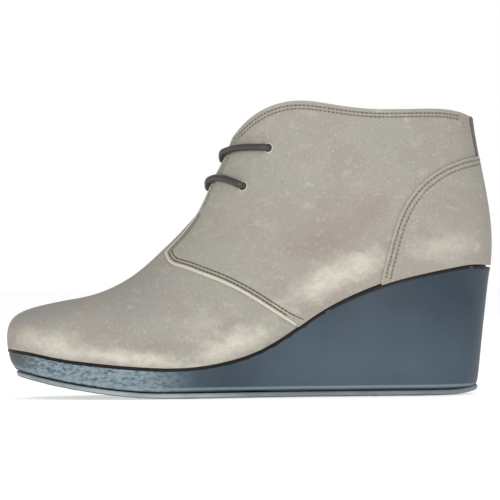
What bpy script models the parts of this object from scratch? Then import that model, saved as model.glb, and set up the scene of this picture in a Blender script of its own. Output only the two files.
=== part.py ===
"""Left ankle boot: a suede lace-up upper on a moulded wedge sole, standing empty.

The toe points to -X, the outer (lateral) side of the foot is -Y, and the floor is z = 0.
Every leather piece is taken from one function, skin(), which gives the surface of the last
by two numbers: the station along the sole's edge, from toe to heel, and the height up the rib
that starts there, from the feather line to the ridge or the collar.
"""

import math
from collections import namedtuple

import bmesh
import bpy
import numpy as np
from mathutils import Vector

# Driving sizes, in metres
LENGTH = 0.245
BALL_WIDTH = 0.080
SEAT_HEIGHT = 0.0657
TOE_SPRING = 0.0112
HEEL_LIFT = 0.0018
BOOT_HEIGHT = 0.1475
COLLAR_WIDTH = 0.060
WALL = 0.0016
QUARTER_THICKNESS = 0.0011
COUNTER_THICKNESS = 0.0009
STAY_THICKNESS = 0.0007
TONGUE_THICKNESS = 0.0020
TONGUE_WIDTH = 0.042
TONGUE_CROWN = 0.024
INSOLE_THICKNESS = 0.0030
OUTSOLE_THICKNESS = 0.0027
THROAT_GAP = 0.013
CORNER_GAP = 0.026
LACE_DIAMETER = 0.0034
BAR_SAG = 0.0030
BAR_DIP = 0.0012
TREAD_DEPTH = 0.0012
TREAD_GROOVE = 0.0022
TREAD_PITCH = 0.0105
TREAD_RIM = 0.0070
WELT_DROP = 0.0012
EDGE_ROUND = 0.0007

# Clearances, in metres
SEAT_GAP = 0.0003
LACE_GAP = 0.0004
TONGUE_GAP = 0.0010
INSIDE_GAP = 0.0008

# How finely the curved solids are faceted
RIBS_PER_SECTION = 3
RIB_ROWS = 11
EDGE_STEP = 0.006
HOLE_SIDES = 12
LACE_BEVEL = 2

LATERAL, MEDIAL = -1, 1

# One row for each section of the last. along and top_along are shares of LENGTH from the toe.
# lateral and medial are shares of BALL_WIDTH, out from the centre line, on the feather line.
# top_height is a share of BOOT_HEIGHT, and top_half a share of COLLAR_WIDTH.
# lean is how far the wall flares outwards at the feather line, in degrees.
# swing and rise give the way that a rib arrives at its top: swing turns from heelwards (0)
# over the ridge (90) to toewards (180), and rise is its climb, in degrees.
# low_full and high_full are the lengths of the rib's two handles, as shares of its chord.
Section = namedtuple(
    "Section",
    "along lateral medial top_along top_height top_half lean swing rise low_full high_full",
)
SECTIONS = {
    "toe tip": Section(0.003, -0.042, 0.042, 0.112, 0.328, 0.00, 7, 0, 11, 0.50, 0.60),
    "toe front": Section(0.020, 0.152, 0.233, 0.127, 0.333, 0.00, 10, 36, 9, 0.48, 0.56),
    "toe side": Section(0.070, 0.306, 0.344, 0.168, 0.345, 0.00, 13, 70, 6, 0.46, 0.50),
    "vamp front": Section(0.147, 0.425, 0.420, 0.221, 0.375, 0.00, 14, 86, 3, 0.44, 0.46),
    "ball": Section(0.245, 0.490, 0.470, 0.278, 0.432, 0.00, 13, 90, 0, 0.40, 0.40),
    "vamp point": Section(0.343, 0.510, 0.466, 0.334, 0.515, 0.00, 12, 90, 0, 0.36, 0.33),
    "throat": Section(0.433, 0.485, 0.400, 0.3915, 0.618, 0.00, 12, 90, 2, 0.34, 0.30),
    "lower eyelet": Section(0.522, 0.425, 0.330, 0.430, 0.738, 0.00, 12, 90, 6, 0.33, 0.27),
    "upper eyelet": Section(0.612, 0.385, 0.315, 0.462, 0.845, 0.05, 13, 94, 26, 0.33, 0.26),
    "collar front": Section(0.710, 0.365, 0.325, 0.517, 0.953, 0.31, 13, 145, 62, 0.33, 0.30),
    "collar side": Section(0.806, 0.360, 0.345, 0.610, 1.000, 0.475, 12, 182, 68, 0.33, 0.33),
    "collar rear": Section(0.890, 0.335, 0.335, 0.748, 0.970, 0.50, 11, 182, 75, 0.33, 0.33),
    "heel side": Section(0.960, 0.215, 0.230, 0.902, 0.967, 0.335, 9, 180, 81, 0.33, 0.33),
    "heel back": Section(0.990, -0.005, 0.005, 0.957, 0.940, 0.00, 7, 180, 84, 0.34, 0.36),
}
LAST_STATION = len(SECTIONS) - 1
RIBS = RIBS_PER_SECTION * LAST_STATION
STATIONS = [i / RIBS_PER_SECTION for i in range(RIBS + 1)]

# Places along the last, as numbers of SECTIONS.
SLIT_START, SLIT_FULL = 5.67, 6.5
CORNER_AT, FLAPS_PARALLEL = 5.0, 6.9
TONGUE_ROOT, TONGUE_TOP = 5.35, 8.80
QUARTER_FIRST, COUNTER_FIRST = 4.0, 8.0
HEEL_SEAM = LAST_STATION - 0.012
BAR_STATIONS = {"lower": 7.00, "upper": 7.93}

# The feather line, where the upper meets the sole: share of LENGTH, share of SEAT_HEIGHT.
FEATHER_LINE = (
    (0.000, 0.376), (0.046, 0.355), (0.107, 0.309), (0.169, 0.276), (0.231, 0.251),
    (0.293, 0.233), (0.340, 0.226), (0.400, 0.237), (0.458, 0.275), (0.520, 0.350),
    (0.583, 0.484), (0.645, 0.640), (0.710, 0.765), (0.780, 0.865), (0.850, 0.932),
    (0.914, 0.979), (0.956, 1.000), (1.000, 0.984),
)

# The sole's wall, by section: how far its lip and its foot stand out from the feather line,
# in metres, and how the wall bows between them (1 is straight, more keeps the top upright).
SoleRow = namedtuple("SoleRow", "lip foot bow")
SOLE_WALL = {
    "toe tip": SoleRow(-0.0004, -0.0042, 2.0),
    "toe front": SoleRow(-0.0003, -0.0037, 2.0),
    "toe side": SoleRow(0.0, -0.0016, 2.0),
    "vamp front": SoleRow(0.0004, 0.0006, 1.6),
    "ball": SoleRow(0.0006, 0.0022, 1.5),
    "vamp point": SoleRow(0.0008, 0.0026, 1.5),
    "throat": SoleRow(0.0010, 0.0024, 1.6),
    "lower eyelet": SoleRow(0.0013, 0.0020, 1.8),
    "upper eyelet": SoleRow(0.0014, 0.0018, 2.0),
    "collar front": SoleRow(0.0018, 0.0022, 2.0),
    "collar side": SoleRow(0.0022, 0.0026, 2.0),
    "collar rear": SoleRow(0.0022, 0.0018, 1.6),
    "heel side": SoleRow(0.0022, -0.0022, 1.1),
    "heel back": SoleRow(0.0022, -0.0048, 0.9),
}
# Shares of LENGTH: where the flat of the tread starts and ends, and where the tread ends.
FLAT_FROM, FLAT_TO, TREAD_END = 0.320, 0.905, 0.965
SPRING_FROM, SPRING_CURVE = 0.020, 1.65
TREAD_LANES = ((0.10, 0.42), (0.70, 0.88))

# Edges of the pattern as the side shows them: share of LENGTH, share of BOOT_HEIGHT.
QUARTER_EDGE = (
    (0.680, 0.150), (0.601, 0.234), (0.542, 0.297), (0.480, 0.360), (0.431, 0.398),
    (0.392, 0.423), (0.368, 0.438), (0.350, 0.447), (0.339, 0.459), (0.333, 0.480),
    (0.328, 0.510),
)
QUARTER_BEHIND = ((0.300, 0.640), (0.300, 1.100), (1.100, 1.100), (1.100, 0.050), (0.680, 0.050))
COUNTER_EDGE = (
    (0.755, 0.280), (0.765, 0.340), (0.772, 0.400), (0.787, 0.494), (0.802, 0.578),
    (0.823, 0.652), (0.854, 0.716), (0.896, 0.766), (0.937, 0.794), (0.985, 0.812),
    (1.050, 0.828),
)
COUNTER_BEHIND = ((1.100, 0.828), (1.100, 0.280))
STAY_FOOT = 0.813
EYELETS = {"lower": (0.493, 0.712), "upper": (0.545, 0.842)}

SUEDE = (0.47, 0.42, 0.35, 1.0)
SOLE_GREY = (0.085, 0.11, 0.135, 1.0)
OUTSOLE_GREY = (0.07, 0.09, 0.11, 1.0)
LINING = (0.36, 0.31, 0.25, 1.0)
LACE_BROWN = (0.035, 0.028, 0.025, 1.0)


def clear_scene():
    for old in list(bpy.data.objects):
        bpy.data.objects.remove(old)


def finish_of(name, colour, roughness):
    """A Principled material with the piece's own colour and roughness."""
    material = bpy.data.materials.new(name)
    material.use_nodes = True
    shader = material.node_tree.nodes["Principled BSDF"]
    shader.inputs["Base Color"].default_value = colour
    shader.inputs["Roughness"].default_value = roughness
    shader.inputs["Metallic"].default_value = 0.0
    return material


class RingSpline:
    """A closed cubic spline through rows of numbers, one knot for each row."""

    def __init__(self, rows):
        self.rows = np.array(rows, float)
        count = len(self.rows)
        matrix = 4.0 * np.eye(count)
        for i in range(count):
            matrix[i, (i + 1) % count] += 1.0
            matrix[i, (i - 1) % count] += 1.0
        bend = np.roll(self.rows, 1, 0) - 2 * self.rows + np.roll(self.rows, -1, 0)
        self.curvature = np.linalg.solve(matrix, 6.0 * bend)

    def __call__(self, position):
        count = len(self.rows)
        position = position % count
        i = int(position) % count
        f = position - int(position)
        g = 1.0 - f
        j = (i + 1) % count
        return (
            g * self.rows[i]
            + f * self.rows[j]
            + (g**3 - g) * self.curvature[i] / 6.0
            + (f**3 - f) * self.curvature[j] / 6.0
        )


class OpenSpline:
    """A natural cubic spline of one or more columns over rising knots."""

    def __init__(self, knots, rows):
        self.knots = np.array(knots, float)
        self.rows = np.array(rows, float).reshape(len(self.knots), -1)
        step = np.diff(self.knots)
        count = len(self.knots)
        matrix, right = np.eye(count), np.zeros_like(self.rows)
        slope = np.diff(self.rows, axis=0) / step[:, None]
        for i in range(1, count - 1):
            matrix[i, i - 1 : i + 2] = step[i - 1], 2 * (step[i - 1] + step[i]), step[i]
            right[i] = 6.0 * (slope[i] - slope[i - 1])
        self.curvature = np.linalg.solve(matrix, right)

    def __call__(self, value):
        i = int(np.clip(np.searchsorted(self.knots, value) - 1, 0, len(self.knots) - 2))
        step = self.knots[i + 1] - self.knots[i]
        f = (value - self.knots[i]) / step
        g = 1.0 - f
        bend = (g**3 - g) * self.curvature[i] + (f**3 - f) * self.curvature[i + 1]
        return g * self.rows[i] + f * self.rows[i + 1] + bend * step**2 / 6.0


def ring_rows(make):
    """Rows for a RingSpline: the lateral side from toe to heel, then the medial side back."""
    names = list(SECTIONS)
    lateral = [make(name, LATERAL) for name in names]
    medial = [make(name, MEDIAL) for name in reversed(names[1:-1])]
    return lateral + medial


def section_row(name, side):
    row = SECTIONS[name]
    out = row.lateral if side == LATERAL else row.medial
    swing, rise = math.radians(row.swing), math.radians(row.rise)
    return (
        row.along * LENGTH,
        side * out * BALL_WIDTH,
        row.top_along * LENGTH,
        side * row.top_half * COLLAR_WIDTH,
        row.top_height * BOOT_HEIGHT,
        math.tan(math.radians(row.lean)),
        math.cos(rise) * math.cos(swing),
        -side * math.cos(rise) * math.sin(swing),
        math.sin(rise),
        row.low_full,
        row.high_full,
    )


SECTION_RING = RingSpline(ring_rows(section_row))
SOLE_RING = RingSpline(ring_rows(lambda name, side: SOLE_WALL[name]))
FEATHER_SPLINE = OpenSpline(
    [row[0] * LENGTH for row in FEATHER_LINE], [row[1] * SEAT_HEIGHT for row in FEATHER_LINE]
)


def ring_position(side, station):
    return station if side == LATERAL else 2 * LAST_STATION - station


def feather_height(x):
    """Height of the last's bottom edge at x from the toe."""
    return float(FEATHER_SPLINE(min(max(x, 0.0), LENGTH))[0])


def plan_point(side, station):
    return SECTION_RING(ring_position(side, station))[:2]


def plan_normal(side, station):
    """The outward direction of the feather line's plan, level with the floor."""
    position = ring_position(side, station)
    run = SECTION_RING(position + 0.01)[:2] - SECTION_RING(position - 0.01)[:2]
    return np.array([run[1], -run[0]]) / np.linalg.norm(run)


def offset_plan(side, station, out):
    return plan_point(side, station) + plan_normal(side, station) * out


def rib(side, station):
    """The four control points of the rib that starts at this station."""
    row = SECTION_RING(ring_position(side, station))
    normal = np.array([*plan_normal(side, station), 0.0])
    foot = np.array([row[0], row[1], feather_height(row[0]) + SEAT_GAP])
    top_y = side * max(0.0, side * row[3])
    top = np.array([row[2], top_y, row[4]])
    chord = top - foot
    climb = chord - normal * chord.dot(normal)
    climb /= np.linalg.norm(climb)
    leave = climb + normal * row[5]
    leave /= np.linalg.norm(leave)
    arrive = row[6:9] / np.linalg.norm(row[6:9])
    reach = np.linalg.norm(chord)
    return foot, foot + leave * row[9] * reach, top - arrive * row[10] * reach, top


def bezier(points, t):
    a, b, c, d = points
    s = 1.0 - t
    return s**3 * a + 3 * s * s * t * b + 3 * s * t * t * c + t**3 * d


def skin(side, station, t, out=0.0):
    """A point of the last's surface, moved outwards by out."""
    point = bezier(rib(side, station), t)
    if out == 0.0:
        return point
    step = 0.02
    low, high = max(0.0, t - step), min(1.0, t + step)
    up = bezier(rib(side, station), high) - bezier(rib(side, station), low)
    back = bezier(rib(side, station + step), t) - bezier(rib(side, station - step), t)
    normal = np.cross(back, up) * -side
    return point + normal / np.linalg.norm(normal) * out


def find_root(function, low, high):
    """Where function crosses zero between low and high, by halving."""
    start = function(low)
    for _ in range(40):
        middle = 0.5 * (low + high)
        if (function(middle) > 0) == (start > 0):
            low = middle
        else:
            high = middle
    return 0.5 * (low + high)


def share_between(low, high, value):
    return min(1.0, max(0.0, (value - low) / (high - low)))


def rib_end(side, station):
    """How high a rib runs: to the ridge, to the slit in the upper, or to the collar."""
    if station <= SLIT_START:
        return 1.0
    opening = share_between(SLIT_START, SLIT_FULL, station)
    return short_of_middle(side, station, 0.5 * THROAT_GAP * math.sqrt(opening))


def flap_end(side, station):
    """How high a rib runs on the flap, whose front edges part towards their lower corners."""
    parting = 1.0 - share_between(CORNER_AT, FLAPS_PARALLEL, station)
    return short_of_middle(side, station, 0.5 * (THROAT_GAP + (CORNER_GAP - THROAT_GAP) * parting))


def short_of_middle(side, station, half_gap):
    """How high a rib runs before it comes within half_gap of the centre line."""
    points = rib(side, station)

    def beyond(t):
        return side * bezier(points, t)[1] - half_gap

    return 1.0 if beyond(1.0) >= 0 else find_root(beyond, 0.5, 1.0)


def locate(side, place):
    """Station and height up the rib of a point given as the side shows it."""
    x, z = place[0] * LENGTH, place[1] * BOOT_HEIGHT
    best = np.array([8.0, 0.8])
    for _ in range(30):
        here = skin(side, *best)
        along = (skin(side, best[0] + 0.01, best[1]) - here) / 0.01
        up = (skin(side, best[0], best[1] + 0.001) - here) / 0.001
        matrix = np.array([[along[0], up[0]], [along[2], up[2]]])
        step = np.linalg.solve(matrix, np.array([x - here[0], z - here[2]]))
        best = best + np.clip(step, -0.5, 0.5)
        best[1] = min(best[1], 0.995)
    return best


def add_mesh(name, points, faces, material):
    """A smooth-shaded object from points in metres, with faces turned outwards."""
    mesh = bpy.data.meshes.new(name)
    mesh.from_pydata([tuple(float(c) for c in p) for p in points], [], faces)
    mesh.materials.append(material)
    work = bmesh.new()
    work.from_mesh(mesh)
    bmesh.ops.remove_doubles(work, verts=work.verts, dist=1e-7)
    bmesh.ops.triangulate(work, faces=work.faces, quad_method="SHORT_EDGE")
    bmesh.ops.recalc_face_normals(work, faces=work.faces)
    work.to_mesh(mesh)
    work.free()
    mesh.shade_smooth()
    mesh.set_sharp_from_angle(angle=math.radians(40))
    made = bpy.data.objects.new(name, mesh)
    bpy.context.scene.collection.objects.link(made)
    return made


def slab(name, inner, outer, material):
    """A closed solid between two grids of points with the same rows and columns."""
    rows, columns = len(inner), len(inner[0])
    points = [p for row in inner for p in row] + [p for row in outer for p in row]
    shift = rows * columns

    def at(r, c, layer):
        return r * columns + c + layer * shift

    faces = []
    for r in range(rows - 1):
        for c in range(columns - 1):
            faces.append((at(r, c, 1), at(r, c + 1, 1), at(r + 1, c + 1, 1), at(r + 1, c, 1)))
            faces.append((at(r, c, 0), at(r + 1, c, 0), at(r + 1, c + 1, 0), at(r, c + 1, 0)))
    for c in range(columns - 1):
        faces.append((at(0, c, 0), at(0, c + 1, 0), at(0, c + 1, 1), at(0, c, 1)))
        last = rows - 1
        faces.append((at(last, c, 0), at(last, c, 1), at(last, c + 1, 1), at(last, c + 1, 0)))
    for r in range(rows - 1):
        faces.append((at(r, 0, 0), at(r, 0, 1), at(r + 1, 0, 1), at(r + 1, 0, 0)))
        last = columns - 1
        faces.append((at(r, last, 0), at(r + 1, last, 0), at(r + 1, last, 1), at(r, last, 1)))
    return add_mesh(name, points, faces, material)


def make_upper(material):
    """The whole upper as one wall: closed over the toe and instep, open at throat and collar."""
    points, index, faces = [], {}, []

    def vertex(side, i, j):
        shared = i in (0, RIBS) or (j == RIB_ROWS and STATIONS[i] <= SLIT_START)
        key = (LATERAL if shared else side, i, j)
        if key not in index:
            index[key] = len(points)
            t = rib_end(side, STATIONS[i]) * j / RIB_ROWS
            points.append(skin(side, STATIONS[i], t))
        return index[key]

    for side in (LATERAL, MEDIAL):
        for i in range(RIBS):
            for j in range(RIB_ROWS):
                corners = ((i, j), (i + 1, j), (i + 1, j + 1), (i, j + 1))
                quad = [vertex(side, *corner) for corner in corners]
                faces.append(tuple(quad if side == MEDIAL else reversed(quad)))
    made = add_mesh("upper", points, faces, material)
    wall = made.modifiers.new("wall", "SOLIDIFY")
    wall.thickness = WALL
    wall.offset = -1.0
    wall.use_rim = True
    wall.use_quality_normals = True
    return made


def layer(name, places, start, low_out, thickness, material):
    """A sheet of leather over the ribs in places, each (side, station), from height start up.

    Its ribs and rows are the upper's own, so the facets of both run side by side.
    """
    grids = []
    for out in (low_out, low_out + thickness):
        grid = []
        for side, station in places:
            end, stop = rib_end(side, station), flap_end(side, station)
            rows = [end * j / RIB_ROWS for j in range(RIB_ROWS + 1)]
            grid.append([skin(side, station, min(max(t, start), stop), out) for t in rows])
        grids.append(grid)
    return slab(name, grids[0], grids[1], material)


def hide_cutter(cutter):
    cutter.hide_render = True
    cutter.display_type = "WIRE"
    return cutter


def cut(made, cutter, operation="DIFFERENCE"):
    step = made.modifiers.new(cutter.name, "BOOLEAN")
    step.operation = operation
    step.object = cutter


def pattern_cutter(name, edge, behind):
    """A prism across the boot whose side view is all that lies behind a pattern's edge."""
    places = [(x * LENGTH, z * BOOT_HEIGHT) for x, z in edge]
    knots = [0.0]
    for a, b in zip(places, places[1:]):
        knots.append(knots[-1] + math.dist(a, b))
    curve = OpenSpline(knots, places)
    count = round(knots[-1] / EDGE_STEP)
    outline = [tuple(curve(knots[-1] * i / count)) for i in range(count + 1)]
    outline += [(x * LENGTH, z * BOOT_HEIGHT) for x, z in behind]
    reach = BALL_WIDTH
    points = [(x, -reach, z) for x, z in outline] + [(x, reach, z) for x, z in outline]
    size = len(outline)
    faces = [tuple(range(size)), tuple(reversed(range(size, 2 * size)))]
    faces += [(i, (i + 1) % size, (i + 1) % size + size, i + size) for i in range(size)]
    return hide_cutter(add_mesh(name, points, faces, bpy.data.materials["suede"]))


def make_quarter(side, cutter, material):
    """The flap of one side, from its cut edge over the vamp to the seam up the heel."""
    places = [(side, s) for s in STATIONS if s >= QUARTER_FIRST and s < LAST_STATION]
    places.append((side, HEEL_SEAM))
    side_name = "lateral" if side == LATERAL else "medial"
    made = layer(f"quarter_{side_name}", places, 0.0, SEAT_GAP, QUARTER_THICKNESS, material)
    cut(made, cutter, "INTERSECT")
    return made


def round_heel(first):
    """Places on the ribs from station first, round the heel, to the same on the other side."""
    lateral = [(LATERAL, s) for s in STATIONS if s >= first]
    return lateral + [(MEDIAL, s) for _, s in reversed(lateral[:-1])]


def make_counter(cutter, material):
    low = 2 * SEAT_GAP + QUARTER_THICKNESS
    places = round_heel(COUNTER_FIRST)
    made = layer("heel_counter", places, 0.0, low, COUNTER_THICKNESS, material)
    cut(made, cutter, "INTERSECT")
    return made


def make_back_stay(material):
    """The strip that covers the seam up the heel, from the counter to the collar."""
    low = 2 * SEAT_GAP + QUARTER_THICKNESS
    foot_height = STAY_FOOT * BOOT_HEIGHT
    start = find_root(lambda t: skin(LATERAL, LAST_STATION, t)[2] - foot_height, 0.3, 1.0)
    places = round_heel(LAST_STATION - 1.5 / RIBS_PER_SECTION)
    return layer("back_stay", places, start, low, STAY_THICKNESS, material)


def down_the_rib(side, station, distance):
    """The height up a rib that lies at a distance below its end."""
    end = rib_end(side, station)
    top = skin(side, station, end)
    return find_root(
        lambda t: distance - np.linalg.norm(skin(side, station, t) - top), 0.3, end
    )


def tongue_row(station, half_width, out):
    """Points across the tongue: under one flap, over the slit in an arch, under the other."""
    slit = [skin(side, station, rib_end(side, station), out) for side in (LATERAL, MEDIAL)]
    half_slit = 0.5 * np.linalg.norm(slit[1] - slit[0])
    under = half_width - half_slit
    lateral = [
        skin(LATERAL, station, down_the_rib(LATERAL, station, under * share), out)
        for share in (1.0, 0.66, 0.33)
    ]
    medial = [
        skin(MEDIAL, station, down_the_rib(MEDIAL, station, under * share), out)
        for share in (0.33, 0.66, 1.0)
    ]
    ahead = skin(LATERAL, station + 0.1, rib_end(LATERAL, station + 0.1)) - slit[0]
    forward = np.array([-ahead[2], 0.0, ahead[0]])
    forward /= np.linalg.norm(forward)
    arch = []
    for share in (-1.0, -0.5, 0.0, 0.5, 1.0):
        point = 0.5 * (slit[0] + slit[1]) + 0.5 * share * (slit[1] - slit[0])
        arch.append(point + forward * (1 - share**2) * half_slit**2 / (2 * TONGUE_CROWN))
    return lateral + arch + medial


def make_tongue(material):
    """A curved leaf under the flaps, from its root under the vamp to the collar."""
    count = round((TONGUE_TOP - TONGUE_ROOT) * RIBS_PER_SECTION)
    outer_level = -(WALL + TONGUE_GAP)
    grids = []
    for out in (outer_level - TONGUE_THICKNESS, outer_level):
        rows = []
        for i in range(count + 1):
            share = i / count
            station = TONGUE_ROOT + (TONGUE_TOP - TONGUE_ROOT) * share
            half_width = 0.5 * TONGUE_WIDTH * (0.55 + 0.45 * math.sin(0.5 * math.pi * share))
            rows.append(tongue_row(station, half_width, out))
        grids.append(rows)
    return slab("tongue", grids[0], grids[1], material)


def ground_height(x):
    """Height of the outsole's underside: toe spring, a long flat, and the heel's lift."""
    share = x / LENGTH
    if share < FLAT_FROM:
        return TOE_SPRING * ((FLAT_FROM - share) / (FLAT_FROM - SPRING_FROM)) ** SPRING_CURVE
    if share > FLAT_TO:
        return HEEL_LIFT * ((share - FLAT_TO) / (TREAD_END - FLAT_TO)) ** 2
    return 0.0


def sole_ring(make):
    """Points round the sole, lateral side from toe to heel and medial side back."""
    order = [(LATERAL, s) for s in STATIONS] + [(MEDIAL, s) for s in reversed(STATIONS[1:-1])]
    return [make(side, s) for side, s in order]


def outsole_point(side, station, out, rise):
    """A point of the outsole's edge, out from its foot line and rise above its underside."""
    row = SOLE_RING(ring_position(side, station))
    x, y = offset_plan(side, station, row[1] + out)
    return x, y, ground_height(x) + rise


def ring_solid(name, rings, material):
    """A solid stacked from closed rings, its two ends closed by strips from side to side."""
    count = len(rings[0])
    points = [p for ring in rings for p in ring]
    faces = []
    for level in range(len(rings) - 1):
        base, upper = level * count, (level + 1) * count
        for i in range(count):
            j = (i + 1) % count
            faces.append((base + i, base + j, upper + j, upper + i))
    for base in (0, (len(rings) - 1) * count):
        for i in range(count // 2):
            near = [base + i, base + i + 1]
            far = [base + (count - i - 1) % count, base + (count - i) % count]
            faces.append(tuple(dict.fromkeys(near + far)))
    return add_mesh(name, points, faces, material)


def wedge_wall_ring(level):
    """A ring of the wedge's wall: level 0 just above the outsole, 1 at its lip."""

    def place(side, station):
        row = SOLE_RING(ring_position(side, station))
        foot = offset_plan(side, station, row[1])
        lip = offset_plan(side, station, row[0])
        low = ground_height(foot[0]) + OUTSOLE_THICKNESS + SEAT_GAP
        high = feather_height(lip[0]) - WELT_DROP
        x, y = offset_plan(side, station, row[0] + (row[1] - row[0]) * (1.0 - level) ** row[2])
        return x, y, low + (high - low) * level

    return sole_ring(place)


def shelf_ring(drop):
    """A ring at the feather line, drop below it."""

    def place(side, station):
        x, y = plan_point(side, station)
        return x, y, feather_height(x) - drop

    return sole_ring(place)


def make_wedge(material):
    """The moulded wedge: forefoot platform and heel in one, with a step under the upper."""
    base = OUTSOLE_THICKNESS + SEAT_GAP
    rings = [sole_ring(lambda side, s: outsole_point(side, s, -EDGE_ROUND, base))]
    rings += [wedge_wall_ring(level) for level in (0.04, 0.2, 0.4, 0.6, 0.8, 1.0)]
    rings += [shelf_ring(WELT_DROP), shelf_ring(0.0)]
    return ring_solid("wedge", rings, material)


def plan_width_at(x):
    """The outsole's two edges at x from the toe."""
    edges = []
    for side in (LATERAL, MEDIAL):
        station = find_root(lambda s: outsole_point(side, s, 0.0, 0.0)[0] - x, 0.0, LAST_STATION)
        edges.append(outsole_point(side, station, 0.0, 0.0)[1])
    return edges


def tread_cutter(material):
    """Shallow grooves across the outsole, at ball and heel, inside a plain rim."""
    points, faces = [], []
    corners = [(-1, -1, -1), (1, -1, -1), (1, 1, -1), (-1, 1, -1)]
    corners += [(a, b, 1) for a, b, _ in corners]
    sides = [(0, 3, 2, 1), (4, 5, 6, 7), (0, 1, 5, 4), (1, 2, 6, 5), (2, 3, 7, 6), (3, 0, 4, 7)]
    for start, end in TREAD_LANES:
        count = max(1, int((end - start) * LENGTH / TREAD_PITCH))
        for i in range(count + 1):
            x = (start + (end - start) * i / count) * LENGTH
            low, high = sorted(plan_width_at(x))
            low, high = low + TREAD_RIM, high - TREAD_RIM
            tilt = math.atan((ground_height(x + 0.001) - ground_height(x - 0.001)) / 0.002)
            base = len(points)
            for a, b, c in corners:
                along, up = a * 0.5 * TREAD_GROOVE, c * TREAD_DEPTH
                points.append((
                    x + along * math.cos(tilt) - up * math.sin(tilt),
                    0.5 * (low + high) + b * 0.5 * (high - low),
                    ground_height(x) + along * math.sin(tilt) + up * math.cos(tilt),
                ))
            faces += [tuple(base + v for v in side) for side in sides]
    return hide_cutter(add_mesh("tread_cutter", points, faces, material))


def make_outsole(material):
    """The thin tread layer, with a soft lower edge and grooves across ball and heel."""
    profile = (
        (-2 * EDGE_ROUND, 0.0),
        (-0.7 * EDGE_ROUND, 0.5 * EDGE_ROUND),
        (0.0, 1.7 * EDGE_ROUND),
        (0.0, OUTSOLE_THICKNESS - EDGE_ROUND),
        (-EDGE_ROUND, OUTSOLE_THICKNESS),
    )
    rings = []
    for out, rise in profile:
        rings.append(sole_ring(lambda side, s: outsole_point(side, s, out, rise)))
    made = ring_solid("outsole", rings, material)
    cut(made, tread_cutter(material))
    return made


def make_insole(material):
    """The footbed that shows inside, on the wedge and within the upper's wall."""
    inset = WALL + LACE_GAP
    across = ((0.0, 0.0016), (0.12, 0.0004), (0.5, 0.0), (0.88, 0.0004), (1.0, 0.0016))
    lower, upper = [], []
    for station in STATIONS[1:-1]:
        a = offset_plan(LATERAL, station, -inset)
        b = offset_plan(MEDIAL, station, -inset)
        low_row, high_row = [], []
        for share, lift in across:
            x, y = a + (b - a) * share
            z = feather_height(x) + SEAT_GAP
            low_row.append((x, y, z))
            high_row.append((x, y, z + INSOLE_THICKNESS + lift))
        lower.append(low_row)
        upper.append(high_row)
    return slab("insole", lower, upper, material)


def eyelet_frame(side, name):
    """Where an eyelet's axis meets the skin, and the way it points out of the boot."""
    station, t = locate(side, EYELETS[name])
    centre = skin(side, station, t)
    axis = skin(side, station, t, 0.001) - centre
    return centre, axis / np.linalg.norm(axis)


def eyelet_cutter(side):
    """Two pins through a flap and the wall under it, square to the leather."""
    work = bmesh.new()
    radius = 0.5 * LACE_DIAMETER + LACE_GAP
    for name in EYELETS:
        centre, axis = eyelet_frame(side, name)
        turn = Vector(axis).to_track_quat("Z", "Y").to_matrix().to_4x4()
        turn.translation = Vector(centre)
        bmesh.ops.create_cone(
            work,
            cap_ends=True,
            segments=HOLE_SIDES,
            radius1=radius,
            radius2=radius,
            depth=8 * (WALL + QUARTER_THICKNESS),
            matrix=turn,
        )
    mesh = bpy.data.meshes.new("eyelet_cutter")
    work.to_mesh(mesh)
    work.free()
    cutter = bpy.data.objects.new(f"eyelets_{'lateral' if side == LATERAL else 'medial'}", mesh)
    bpy.context.scene.collection.objects.link(cutter)
    return hide_cutter(cutter)


def on_the_way(side, start, end, share, level):
    """A point over or under the leather, part of the way between two places on it."""
    station, t = (1 - share) * np.array(start) + share * np.array(end)
    return skin(side, station, t, level)


def lace_turn(side, name, target, face, outward):
    """The lace's quarter turn from an eyelet's axis to the leather's face, towards target."""
    centre, axis = eyelet_frame(side, name)
    run = on_the_way(side, locate(side, EYELETS[name]), target, 0.1, 0.0) - centre
    run -= axis * run.dot(axis)
    run /= np.linalg.norm(run)
    radius = 0.5 * LACE_DIAMETER + LACE_GAP
    turn = []
    for degrees in (0, 30, 60, 90):
        angle = math.radians(degrees)
        depth = face + outward * radius * math.sin(angle)
        turn.append(centre + axis * depth + run * radius * (1 - math.cos(angle)))
    return turn


def slit_place(side, station):
    """The place on the skin where a rib meets the slit between the flaps."""
    return station, rib_end(side, station)


def bar_half(side, name):
    """Half a bar, from its eyelet over the flap to the flap's front edge."""
    face = SEAT_GAP + QUARTER_THICKNESS
    level = face + 0.5 * LACE_DIAMETER + LACE_GAP
    start, end = locate(side, EYELETS[name]), slit_place(side, BAR_STATIONS[name])
    route = lace_turn(side, name, end, face, 1)
    for share in (0.3, 0.5, 0.7, 0.9, 1.0):
        route.append(on_the_way(side, start, end, share, level))
    return route


def whole_bar(name):
    """A bar from the lateral eyelet, over the slit with a little sag, to the medial one."""
    left, right = bar_half(LATERAL, name), bar_half(MEDIAL, name)
    ahead = [skin(LATERAL, *slit_place(LATERAL, s)) for s in BAR_STATIONS.values()]
    down = (ahead[0] - ahead[1]) * np.array([1.0, 0.0, 1.0])
    down /= np.linalg.norm(down)
    inward = np.array([-down[2], 0.0, down[0]])
    middle = 0.5 * (left[-1] + right[-1]) + down * BAR_SAG + inward * BAR_DIP
    shoulders = [0.7 * end + 0.3 * middle + down * 0.25 * BAR_SAG for end in (left[-1], right[-1])]
    return left + [shoulders[0], middle, shoulders[1]] + right[::-1]


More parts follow.
